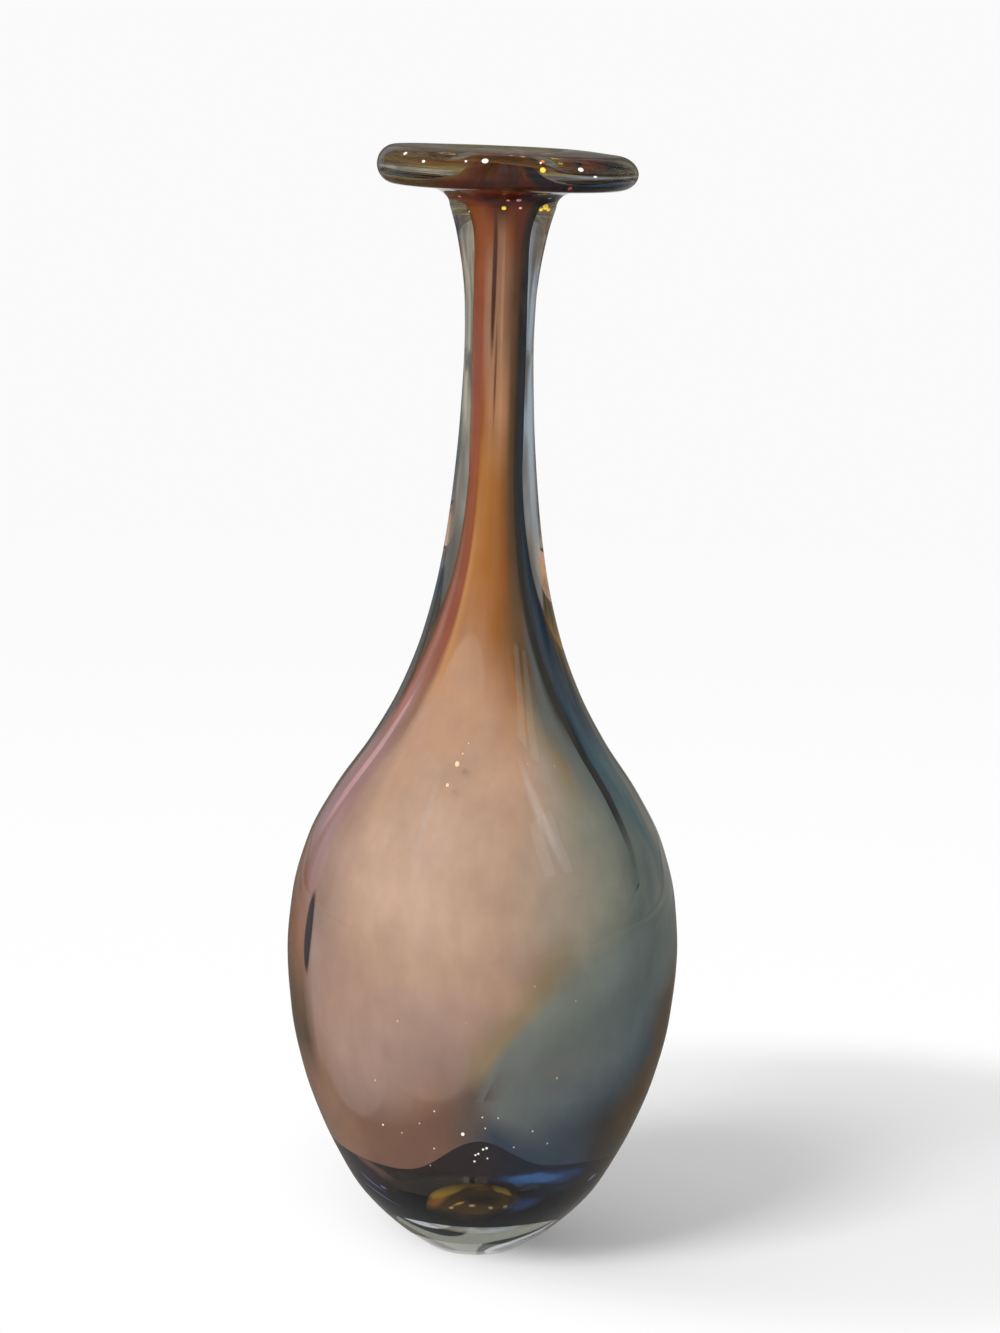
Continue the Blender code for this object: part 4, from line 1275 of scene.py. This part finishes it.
teal_rows = (
    (0.034, ((-4, SEAM_BROWN), (6, BLUE_SLATE), (42, BLUE_SLATE), (54, SMOKE_BROWN), (132, OLIVE))),
    (
        0.044,
        ((-4, SEAM_BROWN), (8, MIST), (32, DEEP_SLATE), (52, SMOKE_BROWN), (70, OLIVE_BROWN), (132, OLIVE)),
    ),
    (0.053, ((-1, SEAM_BROWN), (8, MIST), (32, SLATE), (52, DEEP_SLATE), (70, OLIVE_BROWN), (132, OLIVE))),
    (0.063, ((6, MIST), (30, MIST), (52, SLATE), (64, DEEP_SLATE), (76, OLIVE_BROWN), (132, OLIVE))),
    (0.076, ((17, GREEN_GREY), (40, GREEN_SLATE), (62, SLATE), (80, OLIVE_BROWN), (132, OLIVE))),
    (0.088, ((31, GREEN_GREY), (46, SEA_GREY), (62, GREEN_SLATE), (80, SEA_GREY), (100, OLIVE_BROWN))),
    (0.102, ((52, GREEN_GREY), (60, GREEN_SLATE), (78, SEA_GREY), (96, SEA_GREY), (112, OLIVE_BROWN))),
    (0.118, ((61, GREEN_SLATE), (73, TEAL_BLUE), (86, SEA_GREY), (104, OLIVE_BROWN), (128, UMBER))),
    (0.136, ((64, BLUE), (74, TEAL_BLUE), (88, BLUE), (106, OLIVE_BROWN), (125, OLIVE_BROWN))),
    (0.150, ((66, DEEP_BLUE), (71, BLUE), (80, DEEP_BLUE), (92, DEEP_BLUE), (108, OLIVE), (124, WALNUT))),
    (0.164, ((72, BLUE_SLATE), (83, DEEP_BLUE), (94, BLUE_INK), (110, OLIVE), (124, WALNUT))),
    (0.182, ((64, INK), (72, BLUE_SLATE), (82, NAVY), (94, BLUE_INK), (110, OLIVE), (124, WALNUT))),
    (0.210, ((65, SMOKE_BROWN), (82, NAVY), (96, NAVY), (112, OLIVE), (125, DARK_STREAK))),
    (0.236, ((66, INK_BROWN), (80, BLUE_SLATE), (96, NAVY), (112, OLIVE), (125, DARK_STREAK))),
    (0.270, ((67, SMOKE_BROWN), (80, INK), (95, BLUE_INK), (112, INK), (126, DARK_STREAK))),
    (0.287, ((68, INK_BROWN), (95, INK_BROWN), (126, DARK_STREAK))),
    (0.298, ((68, LIP_NAVY), (126, LIP_NAVY))),
)
sides = (teal_left, teal_right)
overlay("teal_strip", "teal_overlay", "teal_glass", sides, teal_rows, lip_clear=0.8)

trail_rows = (
    (0.052, ((-1, SEAM_BROWN), (3, MIST))),
    (0.063, ((1, OCHRE), (6, MIST))),
    (0.076, ((11, OCHRE), (17, GREEN_GREY))),
    (0.088, ((20, OCHRE), (31, GREEN_GREY))),
    (0.100, ((26, WARM_GREY), (38, SAGE), (50, GREEN_GREY))),
    (0.107, ((28, WARM_GREY), (42, SAGE), (54, GREEN_GREY), (58, GREEN_SLATE))),
)
overlay(
    "gold_streak",
    "gold_trail",
    "trail_glass",
    (peach_right, trail_right),
    trail_rows,
    start_share=TRAIL_START_SHARE,
    end_share=TRAIL_END_SHARE,
)

smoke_rows = (
    (0.108, ((28, WARM_GREY), (42, SAGE), (54, GREEN_GREY), (58, GREEN_SLATE))),
    (0.122, ((29, WARM_GREY), (40, SAGE), (50, GREEN_GREY), (58, GREEN_SLATE))),
    (0.137, ((32, WARM_GREY), (42, OCHRE), (50, MIST), (58, GREEN_SLATE))),
    (0.151, ((33, OCHRE), (41, MIST), (50, MIST), (57, INK))),
    (0.165, ((34, UMBER), (42, UMBER), (50, SLATE), (55, INK))),
    (0.182, ((35, UMBER), (42, UMBER), (49, NECK_UMBER), (53, INK_BROWN))),
    (0.205, ((36, UMBER), (43, NECK_UMBER), (50, NECK_UMBER))),
    (0.250, ((37, UMBER), (49, NECK_UMBER))),
    (0.287, ((38, DEEP_RUST), (48, DEEP_RUST))),
    (0.304, ((38, DEEP_RUST), (48, LIP_NAVY))),
)
overlay(
    "smoke_strip",
    "smoke_overlay",
    "smoke_glass",
    (peach_right, smoke_right),
    smoke_rows,
    lip_clear=0.6,
    start_share=TRAIL_END_SHARE,
)

ink_rows = (
    (0.110, ((58, GREEN_SLATE), (61, GREEN_SLATE))),
    (0.124, ((59, INK), (62, INK), (64, DEEP_BLUE))),
    (0.150, ((58, INK), (64, INK), (66, DEEP_BLUE))),
    (0.182, ((53, INK), (62, INK), (64, BLUE_SLATE))),
    (0.215, ((50, INK_BROWN), (65, SMOKE_BROWN))),
    (0.250, ((49, NECK_UMBER), (58, INK_BROWN), (66, SMOKE_BROWN))),
    (0.287, ((48, DEEP_RUST), (67, INK_BROWN))),
    (0.298, ((48, DEEP_RUST), (67, LIP_NAVY))),
)
overlay(
    "ink_line",
    "ink_thread",
    "ink_glass",
    (smoke_right, ink_right),
    ink_rows,
    lip_clear=0.3,
    start_share=TRAIL_END_SHARE,
)

# Seed bubbles and painted glints, as small balls just under the skin that glow a little.
# Pinheads of air that the casing trapped over the cup's rim and on the shoulder, round or
# drawn out upwards, also stand for the glints seen there. The two largest warm ones on the
# shoulder, the white dots on the lip and the gold, red and pink ones at the lip are painted
# highlights and glints. A place is an azimuth, a height and a radius in millimetres, and a
# length as a share of the width.
SEED_DEPTH = 0.0012
SEED_SEGMENTS = 12
SEED_ROUGHNESS = 0.2
# The glow is painted light, which makes the balls shine as highlights.
PAINTED_HIGHLIGHT_GLOW = 0.5
SEED_PLACES = (
    (-14.0, 50.0, 0.20, 1.0),
    (1.5, 49.0, 0.20, 1.0),
    (6.6, 48.8, 0.16, 1.0),
    (-19.4, 45.9, 0.16, 1.0),
    (2.6, 45.7, 0.16, 1.3),
    (-33.6, 43.6, 0.26, 1.0),
    (-26.5, 42.2, 0.14, 1.0),
    (-4.8, 43.7, 0.44, 1.2),
    (18.7, 44.5, 0.18, 1.0),
    (-15.1, 38.6, 0.20, 1.0),
    (25.1, 40.3, 0.14, 1.0),
    (12.9, 39.8, 0.16, 1.0),
    (3.4, 39.6, 0.30, 1.2),
    (2.2, 39.2, 0.30, 1.0),
    (0.6, 37.8, 0.28, 1.0),
    (-0.4, 37.4, 0.26, 1.0),
    (-0.7, 35.4, 0.28, 1.0),
    (3.9, 36.4, 0.22, 1.0),
    (-17.4, 33.1, 0.14, 1.0),
    (-42.3, 285.2, 0.22, 0.6),
)
LIP_GLINT_PLACES = (
    (-52.5, 300.0, 0.60, 0.7),
    (-38.3, 298.6, 0.48, 0.7),
    (-17.0, 299.4, 0.34, 0.8),
    (-8.4, 299.8, 0.90, 0.7),
    (16.1, 300.0, 0.32, 0.8),
    (34.7, 298.6, 0.80, 0.6),
    (42.2, 296.7, 0.60, 0.4),
)
WARM_SEED_PLACES = (
    (-14.5, 140.4, 0.62, 1.3),
    (-17.1, 135.2, 0.44, 1.2),
    (-12.6, 143.0, 0.20, 1.4),
    (-10.4, 145.6, 0.14, 1.4),
    (-24.7, 74.5, 0.12, 2.0),
    (-4.1, 75.7, 0.10, 1.0),
    (-33.7, 56.6, 0.12, 3.0),
    (24.3, 59.8, 0.12, 3.0),
    (28.3, 81.0, 0.12, 1.0),
    (19.6, 140.7, 0.12, 1.0),
    (33.5, 139.8, 0.12, 1.0),
    (15.4, 85.6, 0.14, 1.0),
    (-55.0, 290.2, 0.50, 0.6),
)
GOLD_SPARK_PLACES = (
    (59.3, 290.6, 0.56, 0.6),
    (1.1, 286.5, 0.62, 0.8),
    (48.0, 286.2, 0.70, 0.6),
    (55.2, 287.0, 1.00, 0.8),
    (62.0, 286.2, 0.70, 0.6),
)
LIP_GOLD_SPARK_PLACES = ((16.7, 298.2, 0.80, 0.8),)
LIP_RED_SPARK_PLACES = (
    (17.2, 300.4, 0.50, 0.7),
    (30.6, 293.4, 0.66, 0.7),
)
PINK_SPARK_PLACES = (
    (5.5, 289.0, 0.44, 0.7),
    (17.5, 289.2, 0.70, 0.7),
    (20.0, 286.6, 0.40, 0.7),
)
# The white and warm kinds are seeds and painted glints, and the gold, red and pink kinds are painted
# glints.
SEED_KINDS = (
    ("white_seed_and_glint", tone(255, 250, 240), SEED_PLACES, LIP_GLINT_PLACES),
    ("warm_seed_and_glint", tone(246, 196, 164), WARM_SEED_PLACES, ()),
    ("gold_glint", tone(250, 210, 70), GOLD_SPARK_PLACES, LIP_GOLD_SPARK_PLACES),
    ("red_glint", tone(244, 120, 66), (), LIP_RED_SPARK_PLACES),
    ("pink_glint", tone(246, 176, 186), PINK_SPARK_PLACES, ()),
)


def seed_material(name, colour):
    material, tree = empty_material(name)
    look = {
        "Base Color": colour,
        "Roughness": SEED_ROUGHNESS,
        "Emission Color": colour,
        "Emission Strength": PAINTED_HIGHLIGHT_GLOW,
    }
    shown(tree, added(tree, "ShaderNodeBsdfPrincipled", look).outputs[0])
    return material


def plant(seeds, places, radius_at, finish):
    """Adds little balls just under the skin at (azimuth, height, size, length) places."""
    for degrees, height, size, length_share in places:
        middle = height / MILLIMETRES
        centre = placed(radius_at(middle) - SEED_DEPTH, middle, degrees)
        shape = Matrix.Translation(centre) @ Matrix.Diagonal((1.0, 1.0, length_share, 1.0))
        ball = bmesh.ops.create_uvsphere(
            seeds,
            u_segments=SEED_SEGMENTS,
            v_segments=SEED_SEGMENTS // 2,
            radius=size / MILLIMETRES,
            matrix=shape,
        )
        for corner in ball["verts"]:
            for face in corner.link_faces:
                face.material_index = finish


def lip_edge_radius(height):
    half = LIP_THICKNESS / 2
    rise = min(abs(height - lip_underside - half) / half, 1.0)
    return edge_centre_radius + LIP_EDGE_DEPTH * math.sqrt(1 - rise**2)


seeds = bmesh.new()
seed_materials = []
for finish, (name, colour, body_places, lip_places) in enumerate(SEED_KINDS):
    plant(seeds, body_places, skin_radius, finish)
    plant(seeds, lip_places, lip_edge_radius, finish)
    seed_materials.append(seed_material(name, colour))
seed_mesh = mesh_of("seeds_and_painted_glints", seeds, seed_materials)
seed_mesh.shade_smooth()
seeds_and_painted_glints = in_scene("seeds_and_painted_glints", seed_mesh)
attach(seeds_and_painted_glints, "root")

# Floor and room: a plain white sheet that keeps the vase's shadow and fades into a white
# background further out. The background is bright only to the camera, shiny faces and
# glass, and lights the vase at a lower strength.
FLOOR_RADIUS = 3.0
FLOOR_SEGMENTS = 96
SHADOW_CENTRE = Vector((0.105, 0.075, 0.0))
FADE_START = 0.112
FADE_END = 0.170
SHEET_FAR = 1.6
BACKGROUND = tone(250, 250, 250)
AMBIENT = 0.62


def sees_backdrop(tree):
    """1 for rays from the camera, from a shiny face or through glass."""
    path = added(tree, "ShaderNodeLightPath")
    seen = maths(tree, "MAXIMUM", path.outputs["Is Camera Ray"], path.outputs["Is Glossy Ray"])
    return maths(tree, "MAXIMUM", seen, path.outputs["Is Transmission Ray"])


paper, tree = empty_material("paper")
place = added(tree, "ShaderNodeTexCoord").outputs["Object"]
matt = added(tree, "ShaderNodeBsdfDiffuse", {"Color": WHITE}).outputs[0]
far = added(tree, "ShaderNodeVectorMath", {0: place}, operation="LENGTH")
distance = smooth_step(tree, far.outputs["Value"], 0.0, SHEET_FAR)
sheet_colour = colour_mix(tree, distance, WHITE, BACKGROUND)
bright = added(tree, "ShaderNodeEmission", {"Color": sheet_colour}).outputs[0]
away = added(tree, "ShaderNodeVectorMath", {0: place, 1: SHADOW_CENTRE}, operation="DISTANCE")
fade = smooth_step(tree, away.outputs["Value"], FADE_START, FADE_END)
share = maths(tree, "MULTIPLY", fade, sees_backdrop(tree))
shown(tree, two_shaders(tree, share, matt, bright))

floor_shape = bmesh.new()
bmesh.ops.create_circle(floor_shape, cap_ends=True, segments=FLOOR_SEGMENTS, radius=FLOOR_RADIUS)
floor_sheet = in_scene("floor", mesh_of("floor", floor_shape, [paper]))

world = bpy.data.worlds.new("studio")
bpy.context.scene.world = world
world.use_nodes = True
tree = world.node_tree
tree.nodes.clear()
room = added(tree, "ShaderNodeBackground", {"Color": BACKGROUND, "Strength": AMBIENT}).outputs[0]
backdrop = added(tree, "ShaderNodeBackground", {"Color": BACKGROUND}).outputs[0]
surface = two_shaders(tree, sees_backdrop(tree), room, backdrop)
added(tree, "ShaderNodeOutputWorld", {"Surface": surface})

# Grey cards: they stand round the set, just outside the picture, so that the clear glass
# shows grey edges and not white ones. Only glass and shiny faces see them.
CARD_RADIUS = 2.6
CARD_HEIGHT = 2.4
CARD_FLOOR_RADIUS = 0.018
CARD_FLOOR_HEIGHT = 0.001
CARD_GAP_DEGREES = 9.0
CARD_GAP_HEIGHT = 0.26
CARD_STEPS = 60
CARD_BLEND = 1.2
CARD_CLOUD_SCALE = 0.9
CARD_CLOUD_STRETCH = 0.6
CARD_CLOUD_LOW = 0.40
CARD_CLOUD_HIGH = 0.62
DARK_CARD = tone(104, 100, 94)
WARM_CARD = tone(186, 174, 154)
COOL_CARD = tone(156, 170, 188)

cards = bmesh.new()
columns = []
for i in range(CARD_STEPS + 1):
    degrees = between(CARD_GAP_DEGREES, 360.0 - CARD_GAP_DEGREES, i / CARD_STEPS)
    turn = math.radians(degrees)
    out = Vector((math.sin(turn), math.cos(turn), 0.0))
    column = [out * CARD_FLOOR_RADIUS, out * CARD_RADIUS, out * CARD_RADIUS, out * CARD_RADIUS]
    heights = (CARD_FLOOR_HEIGHT, CARD_FLOOR_HEIGHT, CARD_GAP_HEIGHT, CARD_HEIGHT)
    columns.append([cards.verts.new((p.x, p.y, z)) for p, z in zip(column, heights)])
for left, right in zip(columns, columns[1:]):
    for k in range(3):
        cards.faces.new((left[k], right[k], right[k + 1], left[k + 1]))
cards.faces.new([column[3] for column in columns])
cards.faces.new((columns[0][2], columns[-1][2], columns[-1][3], columns[0][3]))
grey, tree = empty_material("grey_card")
grey.cycles.emission_sampling = "NONE"
clouds = mottle(tree, CARD_CLOUD_SCALE, CARD_CLOUD_STRETCH)
cloud = smooth_step(tree, clouds, CARD_CLOUD_LOW, CARD_CLOUD_HIGH)
side = smooth_step(tree, object_places(tree)[0], -CARD_BLEND, CARD_BLEND)
pale = colour_mix(tree, side, COOL_CARD, WARM_CARD)
card_colour = colour_mix(tree, cloud, DARK_CARD, pale)
shown(tree, added(tree, "ShaderNodeEmission", {"Color": card_colour}).outputs[0])
grey_cards = in_scene("grey_cards", mesh_of("grey_cards", cards, [grey]))
grey_cards.visible_camera = False
grey_cards.visible_diffuse = False
grey_cards.visible_shadow = False

# Lamps: a big soft lamp high on the left, which throws the shadow to the right, and two
# tall cool windows at the right, which the glass mirrors. A place is an azimuth, an
# elevation and a distance from the vase's body.
LAMP_TARGET = Vector((0.0, 0.0, 0.10))
KEY_PLACE = (-40.0, 43.0, 1.3)
KEY_SIZE = (0.45, 0.45)
KEY_POWER = 9.4
WINDOW_PLACES = ((44.0, 35.0, 1.4), (57.0, 35.0, 1.4))
WINDOW_SIZE = (0.17, 0.55)
WINDOW_POWER = 0.26
WINDOW_LIGHT = (0.76, 0.88, 1.0)


def soft_lamp(name, place, size, power, mirrored=False):
    """A flat lamp that faces the vase's body from its place."""
    light = bpy.data.lights.new(name, "AREA")
    light.shape = "RECTANGLE"
    light.size, light.size_y = size
    light.energy = power
    azimuth, elevation, distance = place
    turn, rise = math.radians(azimuth), math.radians(elevation)
    level = math.cos(rise)
    away = Vector((math.sin(turn) * level, -math.cos(turn) * level, math.sin(rise)))
    lamp = in_scene(name, light)
    lamp.location = LAMP_TARGET + away * distance
    lamp.rotation_euler = away.to_track_quat("Z", "Y").to_euler()
    lamp.visible_glossy = mirrored
    lamp.visible_transmission = mirrored
    return lamp


soft_lamp("key_lamp", KEY_PLACE, KEY_SIZE, KEY_POWER)
for place in WINDOW_PLACES:
    window = soft_lamp("window", place, WINDOW_SIZE, WINDOW_POWER, mirrored=True)
    window.data.color = WINDOW_LIGHT

# Camera: in front and a little above the lip, looking slightly down, with the picture's
# small lean to one side. Many clear layers lie behind each other, so rays pass through all.
CAMERA_PLACE = Vector((0.0, -1.05, 0.335))
CAMERA_TARGET = Vector((0.00266, 0.0, 0.16198))
CAMERA_ROLL_DEGREES = 1.62
LENS = 105.8
SENSOR = 36.0
CLEAR_LAYERS = 48

lens = bpy.data.cameras.new("camera")
lens.lens = LENS
lens.sensor_width = SENSOR
camera = in_scene("camera", lens)
facing = (CAMERA_TARGET - CAMERA_PLACE).to_track_quat("-Z", "Y").to_matrix()
roll = Matrix.Rotation(math.radians(CAMERA_ROLL_DEGREES), 3, "Z")
camera.location = CAMERA_PLACE
camera.rotation_euler = (facing @ roll).to_euler()
bpy.context.scene.camera = camera

bpy.context.scene.view_settings.view_transform = "Standard"
bpy.context.scene.cycles.transparent_max_bounces = CLEAR_LAYERS
